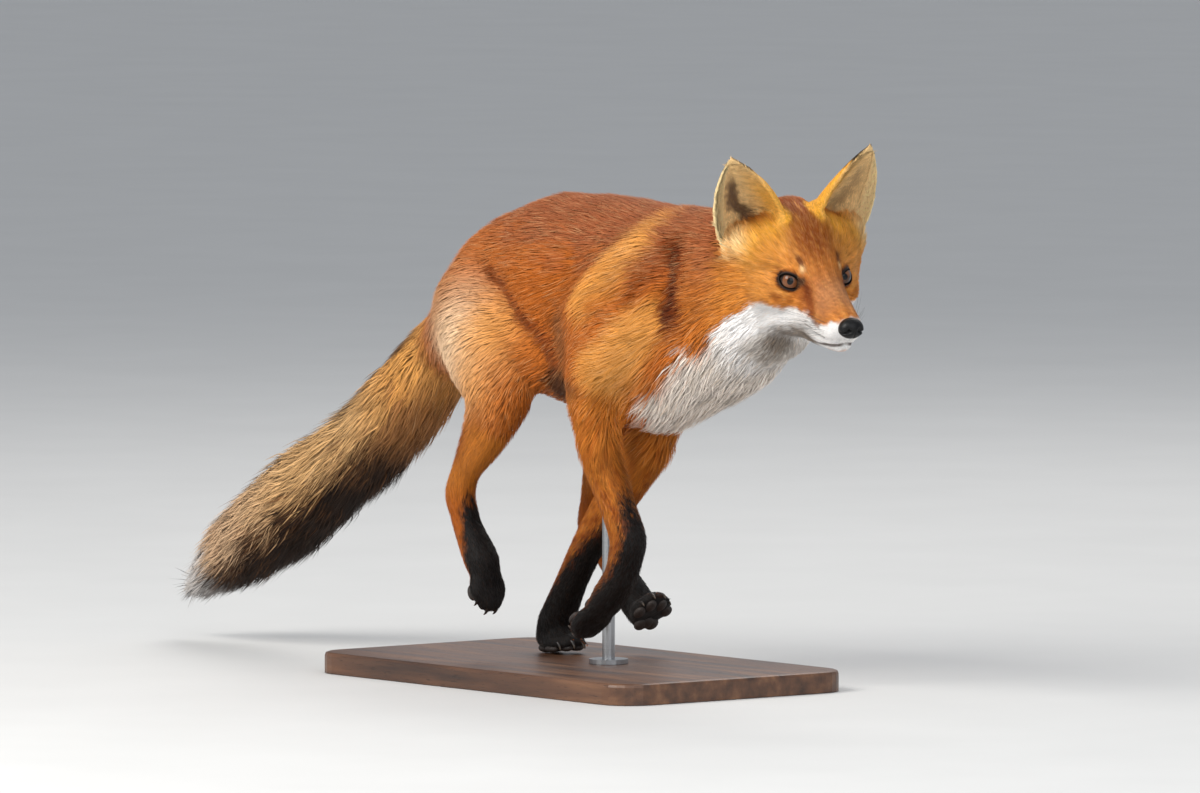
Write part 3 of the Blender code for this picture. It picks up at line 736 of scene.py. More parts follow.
@dataclass(frozen=True)
class SteelFinish:
    """Brushed steel, its fine lines running round the rod."""

    name: str = "brushed_steel"

    def made(self) -> Material:
        """Builds the material."""
        bench = Bench(self.name, metallic=1.0)
        at = bench.place()
        lines = bench.noise(bench.stretched(at, (40.0, 40.0, 4200.0)), 1.0, 3.0)
        cloud = bench.noise(at, 40.0)
        bench.set("Base Color", bench.mixed(lines, paint((150, 152, 155)), paint((190, 192, 194))))
        bench.set("Roughness", 0.2 + 0.14 * lines + 0.1 * cloud)
        bench.relief(lines, 0.00003)
        return bench.material


@dataclass(frozen=True)
class FloorFinish:
    """A plain pale studio floor."""

    name: str = "studio_floor"

    def made(self) -> Material:
        """Builds the material."""
        bench = Bench(self.name, specular_ior_level=0.2)
        cloud = bench.noise(bench.place(), 6.0, 4.0)
        bench.set("Base Color", bench.mixed(cloud, paint((214, 214, 213)), paint((222, 222, 221))))
        bench.set("Roughness", 0.78 + 0.1 * cloud)
        return bench.material


# ---- making meshes

def put(name: str, data: ID) -> Object:
    """Puts an object that holds some data in the scene, at the origin."""
    made = bpy.data.objects.new(name, data)
    bpy.context.scene.collection.objects.link(made)
    return made


def grown(name: str, shape: BMesh, finish: Material) -> Object:
    """Makes an object of a shape, and frees the shape.

    Args:
        name: The piece's name.
        shape: Its shape, in metres where it lies.
        finish: Its material.

    Returns:
        The object, at the origin.
    """
    mesh = bpy.data.meshes.new(name)
    for face in shape.faces:
        face.smooth = True
    shape.to_mesh(mesh)
    shape.free()
    mesh.materials.append(finish)
    return put(name, mesh)


def tube(
    shape: BMesh, line: Sequence[Vector], radii: Sequence[float], sides: int = 8, ring: bool = False
) -> None:
    """Adds a tube along a line, closed at its ends, or joined end to end if ring is set.

    Args:
        shape: What it is added to.
        line: The points along its middle.
        radii: Its radius at each point.
        sides: How many sides it has.
        ring: Whether its last point joins its first.
    """
    hoops = []
    up = Vector((0.0, 0.0, 1.0))
    last = len(line) - 1
    for index, (place, radius) in enumerate(zip(line, radii)):
        before = line[index - 1] if index or ring else place
        after = line[(index + 1) % len(line)] if index < last or ring else place
        axis = (after - before).normalized()
        side = up.cross(axis)
        side = side.normalized() if side.length > 1e-6 else Vector((1.0, 0.0, 0.0))
        turn = Matrix((side, axis.cross(side), axis)).transposed().to_4x4()
        made = bmesh.ops.create_circle(
            shape, cap_ends=False, segments=sides, radius=radius, matrix=Matrix.Translation(place) @ turn
        )
        hoops.append(list({edge for vert in made["verts"] for edge in vert.link_edges}))
        up = axis.cross(side)
    pairs = list(zip(hoops[:-1], hoops[1:])) + ([(hoops[-1], hoops[0])] if ring else [])
    for first, second in pairs:
        bmesh.ops.bridge_loops(shape, edges=first + second)
    if not ring:
        bmesh.ops.holes_fill(shape, edges=hoops[0] + hoops[-1], sides=sides)


def belong(made: Object, slot: str, nodes: Iterable[str] = ()) -> None:
    """Gives a piece its body, hides the nodes that it stands for, and logs its slot.

    Args:
        made: The piece.
        slot: The record's slot.
        nodes: The nodes of the frame that it replaces.
    """
    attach(made, "root")
    nodes = list(nodes)
    if nodes:
        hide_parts(*nodes)
    LOG.info("%s: %d faces, slot %s", made.name, len(made.data.polygons), slot)


def column(items: Sequence, key: str, width: int, kind: type = np.float32) -> Rows:
    """Reads one value of each of a mesh's items.

    Args:
        items: The vertices, edges, loops or triangles.
        key: Which value.
        width: How many numbers it has.
        kind: Their type.

    Returns:
        One row for each item.
    """
    flat = np.empty(len(items) * width, kind)
    items.foreach_get(key, flat)
    return flat.reshape(-1, width)


def places_of(mesh: Mesh) -> Rows:
    """The mesh's vertices, one row each."""
    return column(mesh.vertices, "co", 3).astype(np.float64)


def normals_of(mesh: Mesh) -> Rows:
    """The normals of the mesh's vertices, one row each."""
    return column(mesh.vertices, "normal", 3).astype(np.float64)


def triangles_of(mesh: Mesh) -> Rows:
    """The corners of the mesh's triangles, one row each."""
    mesh.calc_loop_triangles()
    return column(mesh.loop_triangles, "vertices", 3, np.int32)


def put_places(mesh: Mesh, places: Rows) -> None:
    """Moves the mesh's vertices."""
    mesh.vertices.foreach_set("co", places.astype(np.float32).ravel())
    mesh.update()


def note(mesh: Mesh, name: str, kind: str, values: Rows) -> None:
    """Stores one value for each vertex.

    Args:
        mesh: The mesh.
        name: The attribute's name.
        kind: FLOAT, FLOAT_VECTOR or FLOAT_COLOR.
        values: One row for each vertex.
    """
    key = {"FLOAT": "value", "FLOAT_VECTOR": "vector", "FLOAT_COLOR": "color"}[kind]
    if kind == "FLOAT_COLOR":
        values = np.column_stack((values, np.ones(len(values))))
    held = mesh.attributes.new(name, kind, "POINT")
    held.data.foreach_set(key, values.astype(np.float32).ravel())


# ---- the lie of the coat

class Area(Enum):
    """The pieces that the coat is made in."""

    FACE = ("coat_face", "russet_coat", 42000, 1)
    HEAD = ("coat_head", "russet_coat", 13000, 2)
    EARS = ("coat_ears", "ear_coat", 16000, 1)
    NECK = ("coat_neck", "russet_coat", 13500, 2)
    BIB = ("coat_bib", "russet_coat", 8500, 3)
    LEFT = ("coat_left_side", "russet_coat", 13500, 2)
    RIGHT = ("coat_right_side", "russet_coat", 16500, 2)
    HAUNCH = ("coat_haunches", "russet_coat", 15000, 2)
    FORELEGS = ("coat_forelegs", "black_stocking", 22000, 1)
    HINDLEGS = ("coat_hindlegs", "black_stocking", 19000, 1)
    TAIL_ROOT = ("coat_tail_root", "tail_coat", 8000, 2)
    TAIL_BRUSH = ("coat_tail_brush", "tail_coat", 9200, 3)

    def __init__(self, piece: str, slot: str, tufts: int, joints: int) -> None:
        """Names what one piece is.

        Args:
            piece: The piece's name.
            slot: The record's slot of the piece.
            tufts: How many tufts it has.
            joints: How many rings of points each tuft has below its tip.
        """
        self.piece = piece
        self.slot = slot
        self.tufts = tufts
        self.joints = joints


@dataclass(frozen=True)
class Patch:
    """How the coat lies round one place.

    flow is the way that it lies, depth how thick it is and length how long its hair is, both in
    millimetres, width how broad a tuft is, clump how far tufts draw together, and crowd how many
    tufts stand here beside other places of the same piece.
    """

    area: Area
    centre: Place
    reach: float
    flow: Place
    depth: float
    length: float
    width: float = 1.05
    clump: float = 0.25
    crowd: float = 1.0

    def mirrored(self) -> "Patch":
        """The same on the fox's other side."""
        x, y, z = self.centre
        u, v, w = self.flow
        area = Area.LEFT if self.area is Area.RIGHT else self.area
        return replace(self, area=area, centre=(x, -y, z), flow=(u, -v, w))

    def moved(self, frame: Matrix) -> "Patch":
        """The patch taken from the centimetres of the head, an ear or a paw to the body's."""
        to_body = BODY.inverted() @ frame
        flow = tuple(to_body.to_3x3() @ Vector(self.flow))
        return replace(self, centre=tuple(to_body @ Vector(self.centre)), flow=flow)


MIDDLE_PATCHES = (
    Patch(Area.RIGHT, (12, -1.5, 38.5), 4.5, (-1, 0, -0.02), 9, 34),
    Patch(Area.RIGHT, (2, -2, 39.5), 5.5, (-1, -0.05, -0.05), 9, 34),
    Patch(Area.RIGHT, (-7, -2, 38), 5, (-1, -0.05, -0.15), 9, 34),
    Patch(Area.HAUNCH, (-14, -1.5, 34.5), 4.5, (-0.85, -0.1, -0.5), 9, 32),
    Patch(Area.HAUNCH, (-18, -2, 28.5), 3.5, (-0.55, -0.1, -0.85), 10, 34),
    Patch(Area.RIGHT, (12.8, -6.5, 35), 2.6, (-0.75, 0, -0.66), 7.5, 28),
    Patch(Area.RIGHT, (9.5, -7.4, 31.5), 2.6, (-0.68, 0, -0.73), 7.5, 30),
    Patch(Area.RIGHT, (6.5, -7.2, 27.5), 2.6, (-0.66, 0, -0.75), 8, 32),
    Patch(Area.RIGHT, (17, -6.3, 31), 2.2, (-0.96, 0, -0.2), 6.5, 24),
    Patch(Area.RIGHT, (13.5, -6.6, 28), 2.4, (-1, 0, 0.02), 6, 22),
    Patch(Area.RIGHT, (10.5, -7, 25), 2.4, (-0.95, 0, -0.2), 5.5, 20),
    Patch(Area.RIGHT, (4, -7.2, 33), 3.2, (-0.98, 0, -0.18), 8, 30),
    Patch(Area.RIGHT, (-2, -6.8, 34), 3.2, (-0.98, 0, -0.15), 8.5, 32),
    Patch(Area.RIGHT, (2.5, -7, 28.5), 2.6, (-0.85, 0, -0.5), 8, 30),
    Patch(Area.HAUNCH, (-10, -6, 32.5), 3, (-0.9, 0, -0.4), 8, 26),
    Patch(Area.HAUNCH, (-5.2, -6.8, 30), 2.4, (-0.9, 0, -0.42), 7, 22),
    Patch(Area.HAUNCH, (-9.2, -7, 27.8), 2.6, (-0.82, 0, -0.58), 7, 22),
    Patch(Area.HAUNCH, (-2.8, -6.6, 26.6), 2.2, (-0.72, 0, -0.7), 5.5, 17),
    Patch(Area.HAUNCH, (-6.5, -6.6, 25), 2.2, (-0.62, 0, -0.78), 5, 16),
    Patch(Area.HAUNCH, (-12.5, -5, 25.5), 2.6, (-0.65, 0, -0.76), 8, 26),
    Patch(Area.HAUNCH, (-3.5, -5.4, 23.6), 2, (-0.5, 0, -0.86), 4, 14),
    Patch(Area.NECK, (17.5, -5, 35.8), 3, (-0.95, -0.02, -0.28), 9.5, 32),
    Patch(Area.NECK, (19.5, -1.5, 39), 3.5, (-1, -0.05, -0.1), 10, 34),
    Patch(Area.NECK, (24.5, -5, 34.5), 3, (-0.94, -0.1, -0.32), 11, 32),
    Patch(Area.NECK, (26, -1.5, 40), 3, (-1, 0, -0.12), 10, 30),
    Patch(Area.NECK, (21, -6, 31.5), 2.4, (-0.92, -0.05, -0.38), 11, 32),
    Patch(Area.BIB, (25, -4.5, 29.6), 2.4, (-0.75, -0.12, -0.65), 14, 40, 1.1, 0.5, 1.2),
    Patch(Area.BIB, (24.5, -2.5, 26.5), 2.6, (-0.6, -0.1, -0.8), 17, 46, 1.2, 0.6, 1.2),
    Patch(Area.BIB, (19.5, -4.3, 26.5), 2.4, (-0.72, -0.1, -0.68), 15, 42, 1.2, 0.6, 1.2),
    Patch(Area.BIB, (18.5, -2.5, 23.5), 2.6, (-0.6, -0.1, -0.8), 18, 48, 1.2, 0.65, 1.3),
    Patch(Area.BIB, (13.5, -3.5, 22.5), 2.2, (-0.7, -0.1, -0.7), 15, 42, 1.2, 0.6, 1.3),
    Patch(Area.BIB, (8, -2.5, 21.8), 2.4, (-0.8, 0, -0.5), 10, 34, 1.1, 0.5),
    Patch(Area.BIB, (1.5, -2.5, 23), 2.6, (-0.85, 0, -0.4), 8, 28, 1.1, 0.4),
)

HEAD_PATCHES = (
    Patch(Area.FACE, (6.2, 0.8, -1.6), 1, (-1, 0.05, 0.1), 0.5, 3.4, 0.5, 0.1, 1.5),
    Patch(Area.FACE, (3.6, 0.7, -0.6), 1.3, (-1, 0.08, 0.2), 0.7, 4.4, 0.5, 0.1, 1.4),
    Patch(Area.FACE, (1, 0.7, 0.9), 1.3, (-0.85, 0.15, 0.55), 0.9, 5.6, 0.55, 0.15, 1.3),
    Patch(Area.FACE, (-2, 1.2, 2.8), 1.5, (-0.85, 0.2, 0.5), 1.4, 8, 0.6, 0.25, 1.1),
    Patch(Area.HEAD, (-6, 1, 4.4), 2, (-1, 0, 0.15), 3, 14, 0.8, 0.3),
    Patch(Area.HEAD, (-8.5, 2, 2), 2.2, (-1, 0.1, -0.2), 6, 24, 1, 0.35),
    Patch(Area.FACE, (4.8, 1.6, -2.8), 1.1, (-1, 0.1, -0.05), 0.5, 4, 0.5, 0.1, 1.5),
    Patch(Area.FACE, (2.2, 2, -2.4), 1.1, (-0.98, 0.15, -0.1), 0.8, 5.5, 0.55, 0.15, 1.3),
    Patch(Area.FACE, (0.4, 2.6, -2), 1.1, (-0.95, 0.2, -0.15), 1, 6.5, 0.6, 0.2, 1.2),
    Patch(Area.FACE, (-2.6, 3.6, 0.6), 1.4, (-0.95, 0.25, 0.1), 1.6, 9, 0.65, 0.25, 1.1),
    Patch(Area.FACE, (-1.6, 3.9, -2), 1.4, (-0.92, 0.25, -0.28), 2, 11, 0.7, 0.3, 1),
    Patch(Area.HEAD, (-5.2, 5.3, -0.6), 1.7, (-0.92, 0.25, -0.35), 5, 20, 0.9, 0.4, 1.2),
    Patch(Area.HEAD, (-4.6, 5.3, -3.6), 1.9, (-0.84, 0.3, -0.55), 7.5, 26, 0.95, 0.45, 1.3),
    Patch(Area.HEAD, (-1, 3, -4.6), 1.4, (-0.92, 0.2, -0.32), 3.5, 15, 0.8, 0.4, 1.2),
    Patch(Area.FACE, (2.2, 1.5, -3.8), 1, (-0.98, 0.12, -0.12), 1, 6.5, 0.55, 0.2, 1.2),
    Patch(Area.FACE, (2.4, 0.9, -5.3), 1, (-0.97, 0.1, -0.1), 1, 7, 0.6, 0.2, 1.2),
    Patch(Area.FACE, (5.2, 0.7, -4.8), 0.9, (-0.97, 0.05, -0.1), 0.5, 4, 0.5, 0.1, 1.4),
    Patch(Area.HEAD, (-3.5, 1.5, -6.6), 2, (-0.88, 0.1, -0.45), 7, 26, 1, 0.45),
    Patch(Area.HEAD, (-4.2, 5, 1.7), 1.2, (-0.35, 0.1, 0.95), 2.6, 15, 0.7, 0.25, 1.5),
    Patch(Area.FACE, (-3.6, 2.6, 3.4), 1.1, (-0.5, 0.15, 0.88), 1.8, 11, 0.65, 0.25, 1.2),
)

# Lines down the legs and the tail. A nap is the coat's depth and its hair's length, in
# millimetres, at each point of a line.
FORE_RIGHT = ((8.6, -5.6, 25), (8, -5, 22.6), (9, -4.7, 18.6), (11, -4.5, 14.2),
              (12.4, -4.3, 11.3), (11.2, -4.2, 8.2), (9, -4.1, 6), (7.2, -4, 4.5))
FORE_LEFT = ((7.4, 5.4, 24.4), (5.9, 4.7, 22), (3.3, 4.3, 17.6), (-0.6, 3.8, 13), (-3, 3.4, 9.9),
             (-5.2, 3.2, 6.4), (-7.3, 3, 2.7), (-6.9, 3, 1.05))
HIND_RIGHT = ((-4.6, -5.2, 22.8), (-7.2, -5, 18.9), (-9.6, -5, 16.2), (-10.6, -5, 14),
              (-9.3, -5, 11), (-7.4, -5, 8.4), (-6.7, -5, 6.6))
HIND_LEFT = ((-3.6, 6.4, 22.2), (-5.6, 7.2, 17.4), (-7.8, 7.8, 13.4), (-8.6, 8, 10.8), (-5.4, 8, 7.6),
             (-2.5, 8, 4.7), (-0.7, 8, 3.7))
FORE_NAP = ((4, 14), (2.6, 11), (1.7, 9), (1.3, 8), (1.2, 7), (1.2, 6.5), (1, 6), (0.8, 5))
HIND_NAP = ((3.4, 13), (2.2, 10), (1.6, 9), (1.3, 8), (1.2, 7), (1.1, 6.5), (0.8, 5))

TAIL = ((-18, 0, 26.6), (-23.2, 0, 22), (-29.6, 0, 17.3), (-37.1, 0, 13), (-43.7, 0, 9.3),
        (-49.6, 0, 6.1), (-54.2, 0, 3.6))
TAIL_NAP = ((14, 42), (23, 54), (26, 58), (27, 62), (24, 60), (17, 54), (5, 38))

# Each paw's place, its pitch and yaw in degrees, its size, and the piece that its hair is in.
PAWS = {
    "fore_right": ((7.2, -4, 4.5), 138, 0, 1, Area.FORELEGS),
    "fore_left": ((-6.9, 3, 1.05), 0, 0, 1, Area.FORELEGS),
    "hind_right": ((-6.7, -5, 6.6), 76, 0, 0.95, Area.HINDLEGS),
    "hind_left": ((-0.7, 8, 3.7), -38, -12, 0.95, Area.HINDLEGS),
}


def paw_frame(paw: str) -> Matrix:
    """A paw's frame, in its own centimetres: x to the toes and z out of its back."""
    place, pitch, yaw, _, _ = PAWS[paw]
    return BODY @ pose(place, (0.0, pitch, yaw))


def ear_cup(above: Rows | float) -> tuple[Rows | float, Rows | float]:
    """How wide half the ear's sheet is, and how far it curls, at a part of its height."""
    half = EAR_HALF_WIDTH * (1.0 - above**EAR_TAPER) * (1.0 + EAR_BELLY * above)
    return half, EAR_CURL_AT_BASE + (EAR_CURL_AT_TIP - EAR_CURL_AT_BASE) * above


def off_ear(side: int, own: Rows) -> tuple[Rows, Rows, Rows, Rows]:
    """Where places in an ear's centimetres lie on its cupped sheet.

    Args:
        side: 1 for the left ear and -1 for the right one.
        own: One row for each place.

    Returns:
        The middle of the cup's curl ahead of each place, how far it is behind the sheet, how far
        across from -1 to 1, positive away from the head's middle, and 1 where it is on the ear.
    """
    up = own[:, 2] / EAR_HEIGHT
    above = np.clip(up, 0.0, 1.0)
    half, curl = ear_cup(above)
    radius = half / np.sin(np.minimum(curl, math.pi / 2))
    middle = EAR_TIP_FORWARD * above + radius * np.cos(curl)
    across = np.clip(np.arctan2(own[:, 1], middle - own[:, 0]) / curl, -1.3, 1.3) * side
    off = np.hypot(middle - own[:, 0], own[:, 1]) - radius
    near = smooth(np.abs(off), 0.9, 0.45) * smooth(up, -0.16, -0.04) * smooth(np.abs(across), 1.3, 1.12)
    return middle, off, across, near


@dataclass(frozen=True)
class Chain:
    """Patches down a limb or the tail: its line, and the coat's depth and length at each point."""

    area: Area
    line: Sequence[Place]
    nap: Sequence[tuple[float, float]]
    reach: float = 1.5
    width: float = 0.65
    clump: float = 0.2

    def patches(self) -> list[Patch]:
        """The patches, the coat lying along the line."""
        made = []
        for index, (centre, (depth, length)) in enumerate(zip(self.line, self.nap)):
            first = min(index, len(self.line) - 2)
            flow = tuple(Vector(self.line[first + 1]) - Vector(self.line[first]))
            made.append(Patch(self.area, centre, self.reach, flow, depth, length, self.width, self.clump))
        return made


CHAINS = (
    Chain(Area.FORELEGS, FORE_RIGHT, FORE_NAP),
    Chain(Area.FORELEGS, FORE_LEFT, FORE_NAP),
    Chain(Area.HINDLEGS, HIND_RIGHT, HIND_NAP),
    Chain(Area.HINDLEGS, HIND_LEFT, HIND_NAP),
    Chain(Area.TAIL_ROOT, TAIL[:3], TAIL_NAP[:3], 2.6, 1.2, 0.5),
    Chain(Area.TAIL_BRUSH, TAIL[3:], TAIL_NAP[3:], 2.8, 1.2, 0.55),
)

EAR_NAP = ((0.12, 0.8, 7.0), (0.35, 0.5, 4.5), (0.6, 0.4, 3.8), (0.88, 0.35, 3.2))


@dataclass
class Lie:
    """What the coat is like at some places: one row, or one value, for each."""

    area: Rows
    flow: Rows
    depth: Rows
    length: Rows
    width: Rows
    clump: Rows
    crowd: Rows


class LieOfCoat:
    """Blends the patches into one coat."""

    def __init__(self) -> None:
        """Gathers the patches of the whole fox."""
        patches = [*MIDDLE_PATCHES, *(patch.mirrored() for patch in MIDDLE_PATCHES)]
        patches += [patch.moved(HEAD) for patch in HEAD_PATCHES]
        patches += [patch.mirrored().moved(HEAD) for patch in HEAD_PATCHES]
        for chain in CHAINS:
            patches += chain.patches()
        for paw, (_, _, _, _, area) in PAWS.items():
            toes = Patch(area, (1.2, 0.0, 0.2), 1.1, (1.0, 0.0, -0.1), 0.6, 4.5, 0.6, 0.15)
            patches.append(toes.moved(paw_frame(paw)))
        for side in (1, -1):
            for up, depth, length in EAR_NAP:
                place = (-1.0, 0.0, up * EAR_HEIGHT)
                sheet = Patch(Area.EARS, place, 1.5, (0.1, 0.0, 1.0), depth, length, 0.5, 0.1)
                patches.append(sheet.moved(ear_frame(side)))
        self.areas = list(Area)
        self.area = np.array([self.areas.index(patch.area) for patch in patches])
        self.centre = np.array([patch.centre for patch in patches])
        self.reach = np.array([patch.reach for patch in patches])
        self.flow = unit(np.array([patch.flow for patch in patches]))
        self.numbers = np.array(
            [(patch.depth, patch.length, patch.width, patch.clump, patch.crowd) for patch in patches]
        )

    def at(self, places: Rows) -> Lie:
        """The coat at places given in metres.

        Args:
            places: One row for each place.

        Returns:
            The coat there, with depth, length and width in metres.
        """
        here = through(BODY.inverted(), places)
        away = ((here[:, None, :] - self.centre[None]) ** 2).sum(axis=2)
        power = -0.5 * away / self.reach**2
        weight = np.exp(power - power.max(axis=1, keepdims=True))
        weight /= weight.sum(axis=1, keepdims=True)
        flow = unit(weight @ self.flow)
        depth, length, width, clump, crowd = (weight @ self.numbers).T
        for side in (1, -1):
            near = off_ear(side, through(ear_frame(side).inverted(), places))[3]
            depth = depth + (np.minimum(depth, 0.4) - depth) * near
            length = length + (np.minimum(length, 4.2) - length) * near
        area = self.area[power.argmax(axis=1)]
        return Lie(area, flow, depth * MM, length * MM, width * MM, clump, crowd)


# ---- markings, with painted shade and highlights

@dataclass(frozen=True)
class EarPlace:
    """Where places lie on an ear: up from 0 to 1, across from -1 to 1, whether inside, and near."""

    up: Rows
    across: Rows
    inside: Rows
    near: Rows


def ear_places(side: int, places: Rows, normals: Rows) -> EarPlace:
    """Finds places on an ear's cupped sheet, with across positive away from the head's middle."""
    frame = ear_frame(side).inverted()
    own = through(frame, places)
    facing = unit(through(frame, normals, True))
    middle, off, across, near = off_ear(side, own)
    inward = unit(np.column_stack((middle - own[:, 0], -own[:, 1], np.zeros(len(own)))))
    inside = 0.5 * (facing * inward).sum(axis=1) - np.clip(off / 0.2, -1.0, 1.0)
    return EarPlace(own[:, 2] / EAR_HEIGHT, across, inside, near)


@dataclass(frozen=True)
class Site:
    """What is coloured: places in metres and, as here, in body centimetres, their way, and patterns."""

    places: Rows
    here: Rows
    faces: Rows
    soft: Rows
    fine: Rows


class MarkingsAndShade:
    """The fox's colours, with painted shade and highlights, from the place on the body and the way that the
    surface faces.
    """

    def colour(self, places: Rows, normals: Rows, roots: Rows | None = None) -> Rows:
        """The pigment, with painted shade and highlights laid in, at places given in metres.

        Args:
            places: One row for each place.
            normals: The way that the surface faces there.
            roots: Where the hair that shows at each place grows, for the ears' sharp edges.

        Returns:
            A colour as light for each place.
        """
        here = through(BODY.inverted(), places)
        fine = ripple(here, 0.9, SEED + 2)
        site = Site(places, here, unit(normals), ripple(here, 3.2, SEED + 1), fine)
        colours = self._head(site, self._legs(site, self._tail(site, self._trunk(site))))
        for side in (1, -1):
            at = ear_places(side, places if roots is None else roots, normals)
            colours = self._ear(side, at, fine, colours)
        return colours

    @staticmethod
    def ends(here: Rows, normals: Rows) -> Rows:
        """How far the tips fade at places given in body centimetres: -1 is dark and 1 pale."""
        x, _, z = here.T
        even = one_sided(here)
        # Pale tips on the haunches, the shoulder and along the top of the back: partly grizzled hair, partly
        # painted sheen.
        pale = 0.55 * bump(even, (-10.0, 6.5, 29.0), 3.6) + 0.35 * bump(even, (-4.5, 6.8, 28.5), 2.6)
        pale += 0.35 * bump(even, (15.0, 6.2, 30.5), 3.0) + 0.15 * smooth(z, 35.0, 38.0)
        tail = smooth(x, -20.0, -26.0)
        pale += tail * 0.25 * ripple(here, 2.6, SEED + 9) - 0.1 * tail
        pale -= tail * smooth(unit(normals) @ np.array((0.42, 0.0, -0.91)), 0.1, 0.5) * 0.8
        shin = smooth(off_line(here, FORE_RIGHT), 3.4, 2.6) * smooth(unit(normals)[:, 0], -0.1, 0.7)
        return pale - shin * smooth(z, 24.0, 19.0) * 0.7

    @staticmethod
    def _trunk(site: Site) -> Rows:
        """The back, sides, haunches, neck and bib."""
        here, soft, fine = site.here, site.soft, site.fine
        x, _, z = here.T
        colours = Dye.RUSSET.over(len(here))
        colours = stain(colours, Dye.BACK, smooth(z + 0.8 * soft + 0.1 * x, 33.5, 38.0) * 0.95)
        colours = laid(colours, TRUNK_MARKS_AND_PAINTED_LIGHT, Ground(one_sided(here), SQUASH, (fine,)))
        border = np.interp(x + 0.4 * soft + 0.3 * fine, *zip(*BIB_EDGE))
        bib = smooth(z - border, 0.5, -0.5) * smooth(x, 8.5, 11.0)
        colours = stain(colours, Dye.BIB, bib)
        # Painted shade: the bib turns grey further below its edge.
        shade = smooth(z - border, -1.6, -5.5) + 0.35 * np.clip(fine, 0.0, 1.0)
        return stain(colours, Dye.BIB_SHADOW, bib * shade * 0.75)

    @staticmethod
    def _tail(site: Site, colours: Rows) -> Rows:
        """The tail: tan above, nearly black below, with a small pale tip."""
        here, faces, soft, fine = site.here, site.faces, site.soft, site.fine
        x = here[:, 0]
        near = smooth(off_line(here, TAIL), 6.8, 5.4) * smooth(x, -16.5, -19.5)
        tan = stain(Dye.TAIL.over(len(here)), Dye.AMBER, smooth(x, -30.0, -22.0) * 0.8)
        tan = stain(tan, Dye.TAIL_GREY, smooth(x, -36.0, -48.0) * 0.7)
        low = faces @ np.array((0.42, 0.0, -0.91))
        under = smooth(low + 0.16 * soft + 0.14 * fine, 0.16, 0.62)
        tan = stain(tan, Dye.TAN_SHADE, under * smooth(x, -18.0, -22.0) * 0.85)
        under = under * smooth(x + 1.2 * soft, -23.0, -31.0)
        tan = stain(tan, Dye.TAIL_UNDER, under * 0.97)
        crest = faces[:, 2] - 0.6 * faces[:, 0] + 0.07 * soft + 0.05 * fine
        crest = smooth(crest + 0.16 * smooth(x, -38.0, -27.0), 0.82, 0.98)
        tan = stain(tan, Dye.UMBER, crest * smooth(x, -18.0, -22.0) * 0.9)
        tan = stain(tan, Dye.TAN_SHADE, smooth(soft + 0.7 * fine, 0.3, 1.6) * 0.35)
        tan = stain(tan, Dye.UMBER, smooth(-soft + 0.8 * fine, 0.5, 1.6) * smooth(x, -20.0, -27.0) * 0.5)
        tan = stain(tan, Dye.TAIL_TIP, smooth(x + 0.8 * fine, -50.0, -52.5))
        return blend(colours, tan, near)

    @staticmethod
    def _legs(site: Site, colours: Rows) -> Rows:
        """Orange legs with a black front and black stockings."""
        here, fine = site.here, site.fine
        ahead, down, z = site.faces[:, 0], site.faces[:, 2], here[:, 2]
        speck = ripple(here, 0.32, SEED + 4)
        for line, high, front in ((FORE_RIGHT, 8.6, 7.5), (FORE_LEFT, 8.4, 5.5)):
            near = smooth(off_line(here, line[1:]), 3.4, 2.7) * smooth(z, 24.5, 22.5)
            shin = stain(colours, Dye.ORANGE, near)
            shin = stain(shin, Dye.RUSSET, near * (0.5 + 0.3 * fine))
            shin = stain(shin, Dye.RUST, near * (0.35 + 0.3 * fine) * smooth(z, 14.5, 10.0))
            fleck = near * smooth(fine + 0.6 * speck, 0.5, 1.5) * smooth(z, 19.0, 14.0)
            shin = stain(shin, Dye.MAHOGANY, fleck * 0.6)
            black = smooth(z - high - front * ahead + 0.7 * fine + 1.3 * speck, 2.6, -1.6)
            shin = stain(shin, Dye.BLACK, near * black)
            wrist = off_line(here, ((11.2, line[5][1], 9.4), (8.6, line[5][1], 7.2))) - 0.4 * ahead
            bend = near * smooth(wrist + 0.8 * ahead, 2.4, 0.8) * smooth(ahead, 0.3, -0.5)
            colours = stain(shin, Dye.UMBER, bend * 0.6)
        for line, high, front in ((HIND_RIGHT, 9.6, 4.6), (HIND_LEFT, 7.0, 3.6)):
            near = smooth(off_line(here, line[1:]), 3.2, 2.5) * smooth(z, 22.0, 19.0)
            shin = stain(colours, Dye.ORANGE, near * 0.8)
            # Painted shade on the back of each hind leg, in a band below the thigh.
            shank_shadow = near * smooth(np.abs(z - 18.6), 2.6, 0.8) * smooth(ahead, 0.1, -0.6)
            shin = stain(shin, Dye.RUST, shank_shadow * 0.8)
            shin = stain(shin, Dye.RUSSET, near * smooth(z, 16.0, 12.5))
            black = smooth(z - high - front * (ahead + 0.4 * down) + 0.5 * fine + 0.5 * speck, 1.4, -1.2)
            colours = stain(shin, Dye.BLACK, near * black)
        return colours

    def _head(self, site: Site, colours: Rows) -> Rows:
        """The face, with its white cheeks, dark tear lines and dark rims round the eyes."""
        fine = site.fine
        own = through(HEAD.inverted(), site.places)
        x, y, z = own.T
        grain = ripple(own, 0.55, SEED + 3)
        ground = Ground(one_sided(own), ALL_ROUND, (fine, grain))
        slope, middle = z + 0.3 * x, np.abs(y)
        face = Dye.ORANGE.over(len(own))
        face = stain(face, Dye.RUSSET, smooth(z + 0.25 * x + 0.3 * fine, 1.6, 3.2) * 0.95)
        # Darker rust on the forehead: partly the fur's own colour, partly painted shade on the brow.
        face = stain(face, Dye.RUST, smooth(middle, 2.8, 1.2) * smooth(slope, 1.0, 2.4) * 0.85)
        face = laid(face, FACE_MARKS, ground)
